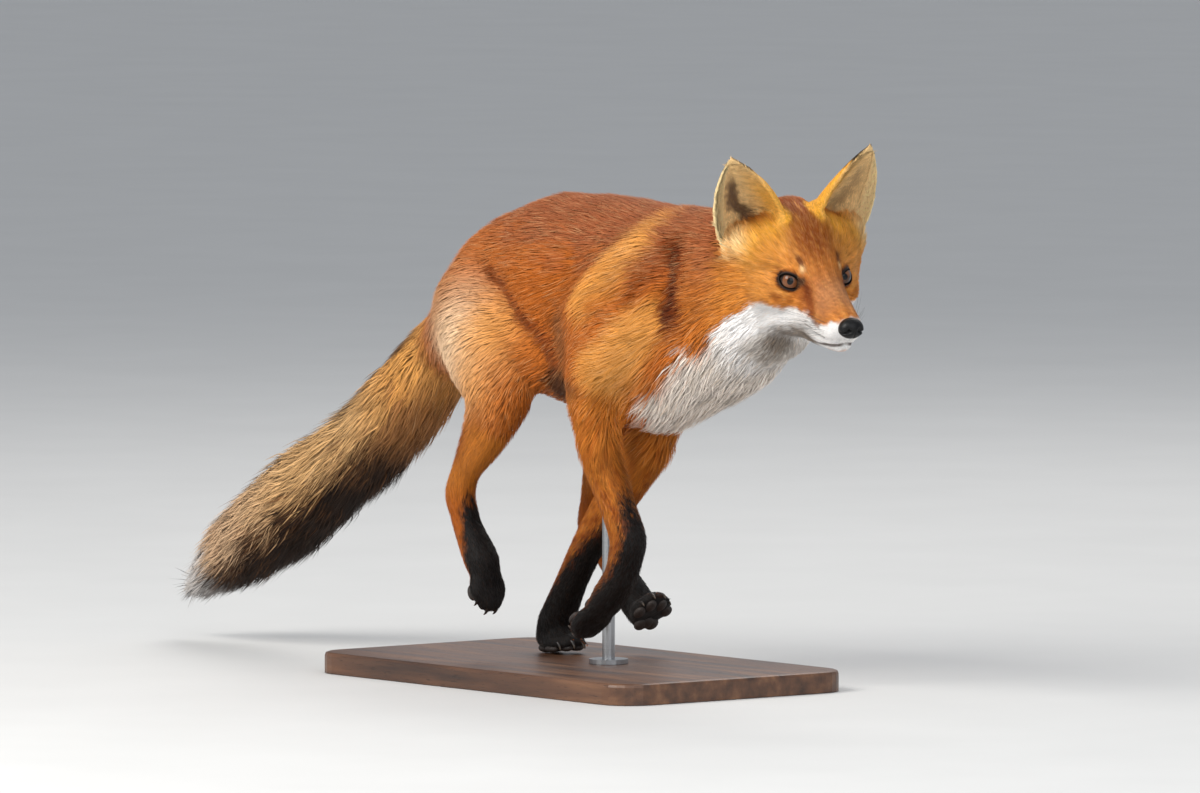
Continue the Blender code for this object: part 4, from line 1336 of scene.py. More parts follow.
        # More of the forehead's rust, partly painted shade.
        face = stain(face, Dye.RUST, smooth(middle, 2.6, 1.4) * smooth(slope, 1.4, 2.6) * 0.6)
        face = stain(face, Dye.RUST, smooth(grain, 0.2, 1.4) * 0.55)
        face = stain(face, Dye.AMBER, smooth(-grain, 0.2, 1.4) * 0.45)
        face = laid(face, BRIDGE_MARKS, ground)
        tear = off_line(ground.places, TEAR)
        face = stain(face, Dye.MAHOGANY, smooth(tear + 0.08 * fine, 0.5, 0.1) * smooth(x, 2.6, 1.4) * 0.75)
        face = self._round_eye(laid(face, EYE_MARKS_AND_SHADE, ground), ground)
        line = np.interp(x, *zip(*CHEEK_EDGE))
        white = smooth(z - line - 0.14 * fine, 0.3, -0.22)
        face = stain(face, Dye.WHITE, white)
        # Painted shade: the cheeks' white turns grey low down, where it turns under towards the throat.
        low = smooth(z - line + 0.3 * fine, -2.2, -4.0) * smooth(x, 2.0, -1.0)
        face = stain(face, Dye.BIB_SHADOW, white * low * 0.6)
        # Painted shadow under the jaw.
        face = stain(face, Dye.SHADOW_AND_ROW_GREY, white * smooth(off_line(ground.places, THROAT_SHADOW_LINE), 2.2, 0.6) * 0.9)
        return blend(colours, laid(face, MUZZLE_MARKS_AND_SHADE, ground), smooth(x, -9.5, -6.5))

    @staticmethod
    def _round_eye(face: Rows, ground: Ground) -> Rows:
        """The dark ring round an eye's opening, with its corner at the nose."""
        eye = through((HEAD.inverted() @ lid_frame(1)).inverted(), ground.places)
        ring = np.hypot(eye[:, 0] * 0.68, eye[:, 1]) + (eye[:, 2] < 0.0)
        face = stain(face, Dye.RUST, smooth(ring, 1.05, 0.8) * 0.7)
        face = stain(face, Dye.UMBER, smooth(ring, 0.9, 0.76) * 0.8)
        face = stain(face, Dye.BLACK, smooth(ring, 0.8, 0.72) * 0.9)
        corner = off_line(ground.places, EYE_CORNER_LINE)
        face = stain(face, Dye.UMBER, smooth(corner, 0.6, 0.3) * 0.9)
        corner = corner + 0.2 * smooth(ground.places[:, 0], 0.3, 1.0)
        return stain(face, Dye.BLACK, smooth(corner, 0.4, 0.18) * 0.95)

    @staticmethod
    def _ear(side: int, at: EarPlace, fine: Rows, colours: Rows) -> Rows:
        """A black-backed ear with a cream lining, a dark hollow that is partly painted shade, and golden
        edges.

        Args:
            side: 1 for the left ear and -1 for the right one.
            at: Where each place lies on that ear.
            fine: The fine pattern there.
            colours: The colours so far.

        Returns:
            The colours with the ear's laid over them.
        """
        inner = smooth(at.inside, -0.95, -0.5)
        rim = np.where(at.across > 0.0, 0.85, 0.72) - 0.42
        rim = 0.42 + rim * smooth(np.abs(at.across), 0.2, 0.85)
        low = smooth(at.up + 0.04 * fine - rim, 0.06, -0.06)
        back = stain(Dye.BLACK.over(len(colours)), Dye.ORANGE, low)
        back = stain(back, Dye.GOLD, smooth(-at.across, 0.0, 0.5) * low * 0.9)
        back = stain(back, Dye.CREAM, smooth(at.across, 0.6, 0.9) * low * smooth(at.up, -0.05, 0.1) * 0.8)
        lining = Dye.CREAM.over(len(colours))
        lining = stain(lining, Dye.AMBER, 0.35 * smooth(at.across, 0.85, 0.5))
        lining = stain(lining, Dye.GOLD, smooth(-at.across, 0.1, 0.8) * smooth(at.up, 0.95, 0.4) * 0.85)
        lining = stain(lining, Dye.GOLD, smooth(at.up, 0.2, 0.0) * smooth(at.across, 0.8, 0.4) * 0.8)
        # The dark hollow: partly the ear's darker bare skin, partly painted shade in the cup, stronger on the
        # right ear than on the left.
        middle = 0.32 - 0.35 * smooth(at.up, 0.5, 0.05)
        hollow = smooth(np.abs(at.across - middle) + 0.06 * fine, 0.36, 0.06) * smooth(at.up, -0.02, 0.08)
        deep = 0.5 if side > 0 else 0.92
        lining = stain(lining, Dye.HOLLOW, hollow * smooth(at.up, 0.86, 0.6) * deep)
        top = smooth(at.inside, 0.3, -0.2) * smooth(at.up - rim, 0.0, 0.08)
        lining = stain(lining, Dye.BLACK, top * smooth(np.abs(at.across), 0.7, 0.9))
        return blend(colours, blend(back, lining, inner), at.near)


# ---- the skin

@dataclass
class Skin:
    """The one skin of the body, which lies inside the flesh nodes by the coat's depth."""

    lie: LieOfCoat
    voxel: float = 0.00295
    spread: float = 0.0004
    rounds: int = 8
    lid: float = 0.09
    half_wide: float = 0.89
    half_high: float = 0.58
    lower: float = 0.92
    point: float = 2.2
    arch: float = 0.7
    thing: Object = field(init=False)

    def build(self, finish: Material, marks: MarkingsAndShade) -> Object:
        """Makes the skin and colours it.

        Args:
            finish: Its material.
            marks: The fox's colours, with painted shade and highlights.

        Returns:
            The skin's object.
        """
        mesh = self._remeshed()
        self._refine(mesh)
        places = self._relaxed(mesh)
        places = self._folded(mesh, places)
        places = self._sunk(mesh, places)
        places = self._faced(places)
        put_places(mesh, places)
        for polygon in mesh.polygons:
            polygon.use_smooth = True
        note(mesh, "marking", "FLOAT_COLOR", marks.colour(places, normals_of(mesh)))
        mesh.materials.append(finish)
        self.thing = put("skin", mesh)
        self._unwrap()
        belong(self.thing, "russet_coat", FLESH)
        return self.thing

    def _remeshed(self) -> Mesh:
        """One closed surface round all the flesh, with the eyes and nose covered over."""
        whole = bmesh.new()
        for name in (*FLESH, "eye_left", "eye_right", "nose"):
            part = bmesh.new()
            part.from_mesh(bpy.data.objects[name].data)
            bmesh.ops.remove_doubles(part, verts=part.verts[:], dist=1e-6)
            part.normal_update()
            for vert in part.verts:
                vert.co += vert.normal * self.spread
            held = bpy.data.meshes.new("part")
            part.to_mesh(held)
            part.free()
            whole.from_mesh(held)
            bpy.data.meshes.remove(held)
        thing = grown("rough", whole, bpy.data.materials.new("none"))
        melt = thing.modifiers.new("melt", "REMESH")
        melt.mode = "VOXEL"
        melt.voxel_size = self.voxel
        graph = bpy.context.evaluated_depsgraph_get()
        mesh = bpy.data.meshes.new_from_object(thing.evaluated_get(graph))
        mesh.materials.clear()
        mesh.name = "skin"
        bpy.data.objects.remove(thing)
        return mesh

    def _refine(self, mesh: Mesh) -> None:
        """Halves the faces of the face, and halves them again round the eyes."""
        shape = bmesh.new()
        shape.from_mesh(mesh)
        inward = HEAD.inverted()
        for near in (self._on_face, self._on_lids):
            chosen = {vert for vert in shape.verts if near(inward @ vert.co)}
            edges = [edge for edge in shape.edges if edge.verts[0] in chosen and edge.verts[1] in chosen]
            bmesh.ops.subdivide_edges(shape, edges=edges, cuts=1, use_grid_fill=True)
        bmesh.ops.triangulate(shape, faces=[face for face in shape.faces if len(face.verts) > 4])
        shape.to_mesh(mesh)
        shape.free()

    @staticmethod
    def _on_face(own: Vector) -> bool:
        """Whether a place in the head's frame is on the face."""
        return -3.4 < own.x < 9.0 and abs(own.y) < 4.4 and -6.2 < own.z < 3.0

    @staticmethod
    def _on_lids(own: Vector) -> bool:
        """Whether a place in the head's frame is by an eye."""
        x, y, z = EYE_PLACE
        by_eye = (Vector((own.x, abs(own.y), own.z)) - Vector((x, y, z))).length < 1.75
        return by_eye and own.x > x - 0.8

    def _relaxed(self, mesh: Mesh) -> Rows:
        """The places of the vertices with the facets smoothed out, least on the thin pieces."""
        places = places_of(mesh)
        self.ends = column(mesh.edges, "vertices", 2, np.int32)
        own = through(HEAD.inverted(), places)
        pull = np.full(len(places), 0.5)
        pull[own[:, 0] > -7.0] = 0.42
        for side in (1, -1):
            up = through(ear_frame(side).inverted(), places)
            ear = smooth(up[:, 2], 0.8, 2.0) * (np.abs(up[:, 1]) < 4.0) * (np.abs(up[:, 0]) < 4.5)
            pull *= 1.0 - 0.72 * ear
        for paw in PAWS:
            toes = np.linalg.norm(through(paw_frame(paw).inverted(), places), axis=1)
            pull *= 1.0 - 0.6 * smooth(toes, 4.0, 2.4)
        for _ in range(self.rounds):
            places = self.eased(places, pull)
        return places

    def eased(self, places: Rows, pull: Rows) -> Rows:
        """Moves each vertex's place, or other vector, towards the middle of its neighbours'."""
        first, second = self.ends.T
        size = len(places)
        count = np.bincount(first, minlength=size) + np.bincount(second, minlength=size)
        middle = np.empty_like(places)
        for axis in range(3):
            total = np.bincount(first, places[second, axis], size)
            total = total + np.bincount(second, places[first, axis], size)
            middle[:, axis] = total / np.maximum(count, 1)
        return places + (middle - places) * pull[:, None]

    @staticmethod
    def _folded(mesh: Mesh, places: Rows) -> Rows:
        """Raises the muscles and sinks the folds between them."""
        put_places(mesh, places)
        even = one_sided(through(BODY.inverted(), places))
        rise = np.zeros(len(places))
        for height, reach, line in FOLDS:
            rise += height * CM * np.exp(-((off_line(even, line) / reach) ** 2))
        return places + normals_of(mesh) * rise[:, None]

    def _sunk(self, mesh: Mesh, places: Rows, steps: int = 5) -> Rows:
        """Draws the skin in by the coat's depth."""
        depth = self.lie.at(places).depth
        pull = 0.16 * smooth(depth, 0.002, 0.008)
        for _ in range(steps):
            put_places(mesh, places)
            places = places - normals_of(mesh) * (depth / steps)[:, None]
            places = self.eased(places, pull)
        return places

    def _faced(self, places: Rows) -> Rows:
        """Sculpts the face: brows, lids that fit the eyes, folds, and the line of the mouth."""
        own = through(HEAD.inverted(), places)
        front = own[:, 0] > -4.5
        even = one_sided(own)
        away = unit(own - np.array((-1.5, 0.0, -1.4)))
        rise = sum(height * bump(even, centre, reach) for height, centre, reach in FACE_RISES)
        furrow = off_line(even, ((0.2, 0.0, 1.3), (-2.6, 0.0, 3.2)))
        rise -= 0.05 * smooth(furrow, 0.45, 0.0)
        rise -= 0.13 * smooth(off_line(even, MOUTH), 0.2, 0.0)
        own = own + away * (rise * front)[:, None]
        ball = (own - np.array(NOSE_PLACE)) / np.array(NOSE_RADII)
        behind = smooth(np.linalg.norm(ball, axis=1), 1.65, 1.45) * smooth(ball[:, 0], -0.6, -0.2)
        own = own + (np.array(NOSE_PLACE) + ball * np.array(NOSE_RADII) * 0.5 - own) * behind[:, None]
        for side in (1, -1):
            own = self._lidded(own, side)
        return through(HEAD, own)

    def _lidded(self, own: Rows, side: int) -> Rows:
        """Fits the lids to one eye, and opens them by taking the skin behind the eye."""
        frame = HEAD.inverted() @ lid_frame(side)
        place = through(frame.inverted(), own)
        far = np.linalg.norm(place, axis=1)
        ways = place / far[:, None]
        flat = ways[:, :2] * EYE_RADIUS
        gap = self.opening(flat)
        ahead = smooth(ways[:, 2], 0.05, 0.3) * smooth(far, 2.4, 1.7)
        hug = smooth(gap, 0.62, 0.16) * ahead
        fold = 0.055 * np.exp(-((gap - 0.36) ** 2) / 0.006) * ahead
        wanted = EYE_RADIUS + self.lid
        radius = far + (wanted - far) * hug - fold
        inside = smooth(gap, 0.0, -0.06) * ahead
        radius = radius + (EYE_RADIUS - 0.22 - radius) * inside
        return through(frame, ways * radius[:, None])

    def tree(self) -> BVHTree:
        """The skin, ready for finding the nearest place on it."""
        mesh = self.thing.data
        return BVHTree.FromPolygons(places_of(mesh).tolist(), triangles_of(mesh).tolist())

    def opening(self, flat: Rows) -> Rows:
        """How far places of an eye's face, in centimetres, are outside the opening of its lids."""
        across = flat[:, 0] / self.half_wide
        inner = np.clip(1.0 - np.abs(across) ** self.point, 0.0, 1.0)
        high = np.where(flat[:, 1] > 0, self.half_high, self.half_high * self.lower) * inner**self.arch
        over = np.abs(flat[:, 1]) - high
        past = (np.abs(across) - 1.0) * self.half_wide
        return np.where(past > 0, np.hypot(past, np.abs(flat[:, 1])), over)

    def _unwrap(self) -> None:
        """Unwraps the skin's own shape."""
        self.thing.data.uv_layers.new(name=BAKE_MAP)
        bpy.ops.object.select_all(action="DESELECT")
        bpy.context.view_layer.objects.active = self.thing
        self.thing.select_set(True)
        bpy.ops.object.mode_set(mode="EDIT")
        bpy.ops.mesh.select_all(action="SELECT")
        bpy.ops.uv.smart_project(angle_limit=math.radians(72.0), island_margin=0.004)
        bpy.ops.object.mode_set(mode="OBJECT")


# ---- the coat

@dataclass
class Roots:
    """Where tufts grow and how: one row, or one value, for each."""

    place: Rows
    normal: Rows
    flow: Rows
    depth: Rows
    length: Rows
    width: Rows
    clump: Rows
    patch: Rows


@dataclass
class Tufts:
    """Turns roots into closed, tapering, bent tufts of hair joined in one mesh."""

    marks: MarkingsAndShade
    skin: BVHTree
    patch_size: float = 0.003
    sunk: float = 0.3
    tones: float = 0.16
    steps: tuple = ((0.0, 1.0), (0.0, 0.42, 1.0), (0.0, 0.3, 0.64, 1.0))
    tapers: tuple = ((1.0,), (0.8, 1.0), (0.7, 1.0, 0.82))

    def piece(
        self, name: str, roots: Roots, joints: int, finish: Material, seed: int, pale: float = 0.0,
        follow: float = 0.85,
    ) -> Object:
        """Makes one piece of the coat.

        Args:
            name: The piece's name.
            roots: Its roots.
            joints: How many rings of points a tuft has below its tip.
            finish: Its material.
            seed: Where its random draws start.
            pale: How pale its tips are on the whole.
            follow: How closely its tufts keep to the skin.

        Returns:
            The piece's object.
        """
        draw = default_rng(seed)
        size = len(roots.place)
        here = roots.place * 100.0
        streak = self._streaks(here, roots.flow)
        middle = self._middles(roots, self.steps[joints - 1], streak, draw, follow)
        side = unit(np.cross(roots.normal, roots.flow))
        broad = roots.width * draw.uniform(0.7, 1.3, size)
        points = joints * 3 + 1
        verts, shading = np.empty((size, points, 3)), np.empty((size, points, 3))
        along, across = np.empty(points), np.zeros(points)
        patch = np.zeros((points, 2))
        for ring, step in enumerate(self.steps[joints - 1][:-1]):
            way = unit(middle[:, ring + 1] - middle[:, max(ring - 1, 0)])
            thick = unit(np.cross(way, side))
            half = (broad * self.tapers[joints - 1][ring] / 2)[:, None]
            for corner, (shift, wide) in enumerate(((-side, -1.0), (side, 1.0), (thick * 0.6, 0.0))):
                at = ring * 3 + corner
                verts[:, at] = middle[:, ring] + shift * half
                shading[:, at] = unit(roots.normal + shift * 0.32)
                along[at], across[at] = step, wide
                patch[at] = (wide / 2, step - 0.5)
        verts[:, -1] = middle[:, -1]
        shading[:, -1] = unit(roots.normal + roots.flow * 0.15)
        along[-1] = 1.0
        patch[-1] = (0.0, 0.5)
        stand = (np.abs(verts[..., 0]) < 0.22) & (np.abs(verts[..., 1]) < 0.125)
        verts[..., 2] = np.maximum(verts[..., 2], np.where(stand, BASE_TOP + 0.0002, 0.0))
        made = self._mesh(name, verts, shading, finish)
        ahead = roots.length * (0.3 + 0.4 * smooth(roots.length, 0.008, 0.02))
        # The colour that the hair shows: its pigment, with painted shade and highlights laid in.
        pigment_and_shade = self.marks.colour(roots.place + roots.flow * ahead[:, None], roots.normal, roots.place)
        tone = 1.0 + self.tones * np.clip(0.9 * streak + draw.normal(0.0, 0.45, size), -2.0, 2.0)
        ends = self.marks.ends(here, roots.normal) + pale + 0.15 * streak + draw.normal(0.0, 0.3, size)
        mesh = made.data
        note(mesh, "marking", "FLOAT_COLOR", np.repeat(pigment_and_shade * tone[:, None], points, axis=0))
        note(mesh, "along", "FLOAT", np.tile(along, size))
        note(mesh, "across", "FLOAT", np.tile(across, size))
        note(mesh, "lock", "FLOAT", np.repeat(draw.uniform(0.0, 1.0, size), points))
        note(mesh, "tip", "FLOAT", np.repeat(np.clip(ends, -1.0, 1.0), points))
        self._map(mesh, (roots.patch[:, None, :] + patch[None] * self.patch_size).reshape(-1, 2))
        return made

    @staticmethod
    def _streaks(here: Rows, flow: Rows) -> Rows:
        """Light and dark streaks that are drawn out along the flow, between about -1 and 1."""
        total = np.zeros(len(here))
        shifts = np.linspace(-1.5, 1.5, 7)
        for shift in shifts:
            total += ripple(here + flow * shift, 0.55, SEED + 8, 12)
        return np.clip(total / math.sqrt(len(shifts)) * 0.8, -1.6, 1.6)

    def _middles(
        self, roots: Roots, steps: Sequence[float], streak: Rows, draw: Generator, follow: float
    ) -> Rows:
        """The line down the middle of each tuft: up from the skin, then over and along the body.

        Args:
            roots: Where the tufts grow.
            steps: How far along a tuft each of its points is.
            streak: How light the streak is that each tuft lies in.
            draw: Where random numbers come from.
            follow: How closely a tuft keeps to the skin, from 0 to 1.

        Returns:
            The points of each tuft, in metres.
        """
        size = len(roots.place)
        here = roots.place * 100.0
        sway = ripple(here, 5.0, SEED + 5) * 0.11 + ripple(here, 1.6, SEED + 6) * 0.06
        sway = sway + draw.normal(0.0, 0.05, size)
        side = unit(np.cross(roots.normal, roots.flow))
        flow = unit(roots.flow + side * sway[:, None])
        length = roots.length * draw.uniform(0.75, 1.15, size)
        uneven = 1.0 + 0.08 * ripple(here, 2.4, SEED + 7) + 0.06 * streak
        tall = roots.depth * uneven * draw.uniform(0.75, 1.05, size)
        reach = np.sqrt(np.maximum(length**2 - tall**2, (0.4 * length) ** 2))
        curl = draw.normal(0.0, 0.035, size)
        pulled = self._clumped(roots, draw)
        lines = np.empty((size, len(steps), 3))
        deep = np.minimum(0.0005, self.sunk * roots.depth)
        for index, step in enumerate(steps):
            up = (tall * (1.0 - (1.0 - step) ** 2.2) - deep * (1.0 - step))[:, None]
            over = roots.place + flow * (reach * step**1.1)[:, None]
            over += side * (curl * length * math.sin(math.pi * step))[:, None]
            over += pulled * (roots.clump * step**1.6)[:, None]
            lines[:, index] = over + roots.normal * up
            if index and follow:
                down, rise = self._on_skin(over, roots.normal, 0.7 * reach + 0.001)
                lines[:, index] += (down + rise * up - lines[:, index]) * follow
        return lines

    def _on_skin(self, places: Rows, normals: Rows, far: Rows) -> tuple[Rows, Rows]:
        """The skin nearest to each place and its normal, or the place itself where the skin is far off."""
        down, rise = places.copy(), normals.copy()
        for index, place in enumerate(places):
            found, facing, _, away = self.skin.find_nearest(place)
            if found is not None and away < far[index] and facing.dot(Vector(normals[index])) > 0.2:
                down[index], rise[index] = found, facing
        return down, unit(rise * 0.5 + normals * 0.5)

    @staticmethod
    def _clumped(roots: Roots, draw: Generator) -> Rows:
        """The way from each root to the middle of its lock."""
        size = len(roots.place)
        chosen = draw.choice(size, max(size // 16, 1), replace=False)
        tree = KDTree(len(chosen))
        for index, root in enumerate(chosen):
            tree.insert(roots.place[root], index)
        tree.balance()
        nearest = np.array([tree.find(place)[1] for place in roots.place])
        way = roots.place[chosen][nearest] - roots.place
        long = np.linalg.norm(way, axis=1, keepdims=True)
        return way * np.minimum(1.0, 0.012 / np.maximum(long, 1e-9))

    def _mesh(self, name: str, verts: Rows, shading: Rows, finish: Material) -> Object:
        """Joins the tufts in one mesh that is shaded as one coat.

        Args:
            name: The piece's name.
            verts: The points of each tuft.
            shading: Their normals.
            finish: The piece's material.

        Returns:
            The piece's object.
        """
        size, each = verts.shape[:2]
        faces = self._faces((each - 1) // 3)
        corners = (faces[None] + (np.arange(size) * each)[:, None, None]).reshape(-1)
        count = size * len(faces)
        mesh = bpy.data.meshes.new(name)
        mesh.vertices.add(size * each)
        mesh.vertices.foreach_set("co", verts.astype(np.float32).ravel())
        mesh.loops.add(len(corners))
        mesh.loops.foreach_set("vertex_index", corners.astype(np.int32))
        mesh.polygons.add(count)
        mesh.polygons.foreach_set("loop_start", np.arange(0, count * 3, 3, dtype=np.int32))
        mesh.polygons.foreach_set("use_smooth", np.ones(count, bool))
        mesh.update(calc_edges=True)
        mesh.normals_split_custom_set_from_vertices(shading.reshape(-1, 3).astype(np.float32))
        mesh.materials.append(finish)
        return put(name, mesh)

    @staticmethod
    def _map(mesh: Mesh, spots: Rows) -> None:
        """Gives the mesh its map from a spot for each vertex."""
        corners = column(mesh.loops, "vertex_index", 1, np.int32)[:, 0]
        layer = mesh.uv_layers.new(name=BAKE_MAP)
        layer.data.foreach_set("uv", spots[corners].astype(np.float32).ravel())

    @staticmethod
    def _faces(joints: int) -> Rows:
        """The faces of one tuft, all facing out."""
        faces = [(0, 2, 1)]
        for ring in range(joints - 1):
            for corner in range(3):
                a, b = ring * 3 + corner, ring * 3 + (corner + 1) % 3
                faces += [(a, b, b + 3), (a, b + 3, a + 3)]
        last = (joints - 1) * 3
        tip = joints * 3
        faces += [(last + corner, last + (corner + 1) % 3, tip) for corner in range(3)]
        return np.array(faces)


@dataclass
class Coat:
    """The fox's coat, in one piece for each area."""

    skin: Skin
    lie: LieOfCoat
    tufts: Tufts
    finishes: dict[str, Material]

    def build(self) -> None:
        """Makes every piece of the coat."""
        corners, normals, maps = self._skin_faces()
        middles = corners.mean(axis=1)
        lie = self.lie.at(middles)
        edges = corners[:, 1:] - corners[:, :1]
        size = np.linalg.norm(np.cross(edges[:, 0], edges[:, 1]), axis=1) / 2
        bare = self._bare(middles, normals.mean(axis=1))
        for index, area in enumerate(self.lie.areas):
            draw = default_rng(SEED + 20 + index)
            weight = np.where(lie.area == index, size * lie.crowd * (1.0 - bare), 0.0)
            total = np.cumsum(weight)
            marks = (np.arange(area.tufts) + draw.uniform(0.0, 1.0, area.tufts)) / area.tufts * total[-1]
            face = np.minimum(np.searchsorted(total, marks), len(total) - 1)
            roots = self._roots(face, corners, normals, maps, draw)
            finish = self.finishes["bib" if area is Area.BIB else area.slot]
            made = self.tufts.piece(area.piece, roots, area.joints, finish, SEED + 60 + index)
            belong(made, area.slot)

    def _skin_faces(self) -> tuple[Rows, Rows, Rows]:
        """The corners, normals and map of the skin's triangles."""
        mesh = self.skin.thing.data
        verts = triangles_of(mesh)
        loops = column(mesh.loop_triangles, "loops", 3, np.int32)
        spots = column(mesh.uv_layers[BAKE_MAP].data, "uv", 2)
        normals = normals_of(mesh)
        pull = 0.5 * smooth(self.lie.at(places_of(mesh)).depth, 0.003, 0.01)
        for _ in range(12):
            normals = self.skin.eased(normals, pull)
        return places_of(mesh)[verts], unit(normals)[verts], spots[loops]

    def _roots(self, face: Rows, corners: Rows, normals: Rows, maps: Rows, draw: Generator) -> Roots:
        """Sets one root at a random place of each chosen face.

        Args:
            face: The number of each root's triangle.
            corners: The corners of all triangles.
            normals: The normals at those corners.
            maps: Their places on the skin's map.
            draw: Where random numbers come from.

        Returns:
            The roots.
        """
        a, b = draw.uniform(size=(2, len(face)))
        over = a + b > 1.0
        a, b = np.where(over, 1.0 - a, a), np.where(over, 1.0 - b, b)
        part = np.column_stack((1.0 - a - b, a, b))[:, :, None]
        place = (corners[face] * part).sum(axis=1)
        normal = unit((normals[face] * part).sum(axis=1))
        lie = self.lie.at(place)
        flow = unit(lie.flow - normal * (lie.flow * normal).sum(axis=1, keepdims=True))
        patch = (maps[face] * part).sum(axis=1)
        short = self._shorter(place)
        depth, length = lie.depth * short, lie.length * short
        return Roots(place, normal, flow, depth, length, lie.width, lie.clump, patch)

    def _shorter(self, places: Rows) -> Rows:
        """How much shorter the hair is beside the eyes and the mouth."""
        own = through(HEAD.inverted(), places)
        even = one_sided(own)
        eye = np.linalg.norm(even - np.array(EYE_PLACE), axis=1)
        mouth = off_line(even, MOUTH)
        return np.minimum(smooth(eye, 0.6, 2.2) * 0.6 + 0.4, smooth(mouth, 0.0, 0.6) * 0.5 + 0.5)

    def _bare(self, places: Rows, normals: Rows) -> Rows:
        """1 where no tuft grows: in the eyes, on the nose, along the lips and under the paws."""
        own = through(HEAD.inverted(), places)
        even = one_sided(own)
        nose = np.linalg.norm((own - np.array(NOSE_PLACE)) / np.array(NOSE_RADII), axis=1)
        bare = smooth(nose, 1.1, 1.04)
        bare = np.maximum(bare, smooth(off_line(even, MOUTH), 0.13, 0.07))
        for side in (1, -1):
            place = through(lid_frame(side).inverted(), places)
            far = np.linalg.norm(place, axis=1)
            gap = self.skin.opening(place[:, :2] / far[:, None] * EYE_RADIUS)
            bare = np.maximum(bare, (gap < 0.12) * (far < 1.12) * (place[:, 2] > 0.1))
            at = ear_places(side, places, normals)
            hollow = smooth(np.abs(at.across - 0.4), 0.4, 0.1) * smooth(at.inside, 0.0, 0.3) * at.near
            bare = np.maximum(bare, hollow * 0.7 * smooth(at.up, 0.9, 0.7))
        for paw in PAWS:
            frame = paw_frame(paw).inverted()
            sole, under = through(frame, places), through(frame, normals, True)
            near = (np.linalg.norm(sole, axis=1) < 3.4) * (unit(under)[:, 2] < -0.55)
            bare = np.maximum(bare, near * 0.92)
        return bare.astype(float)


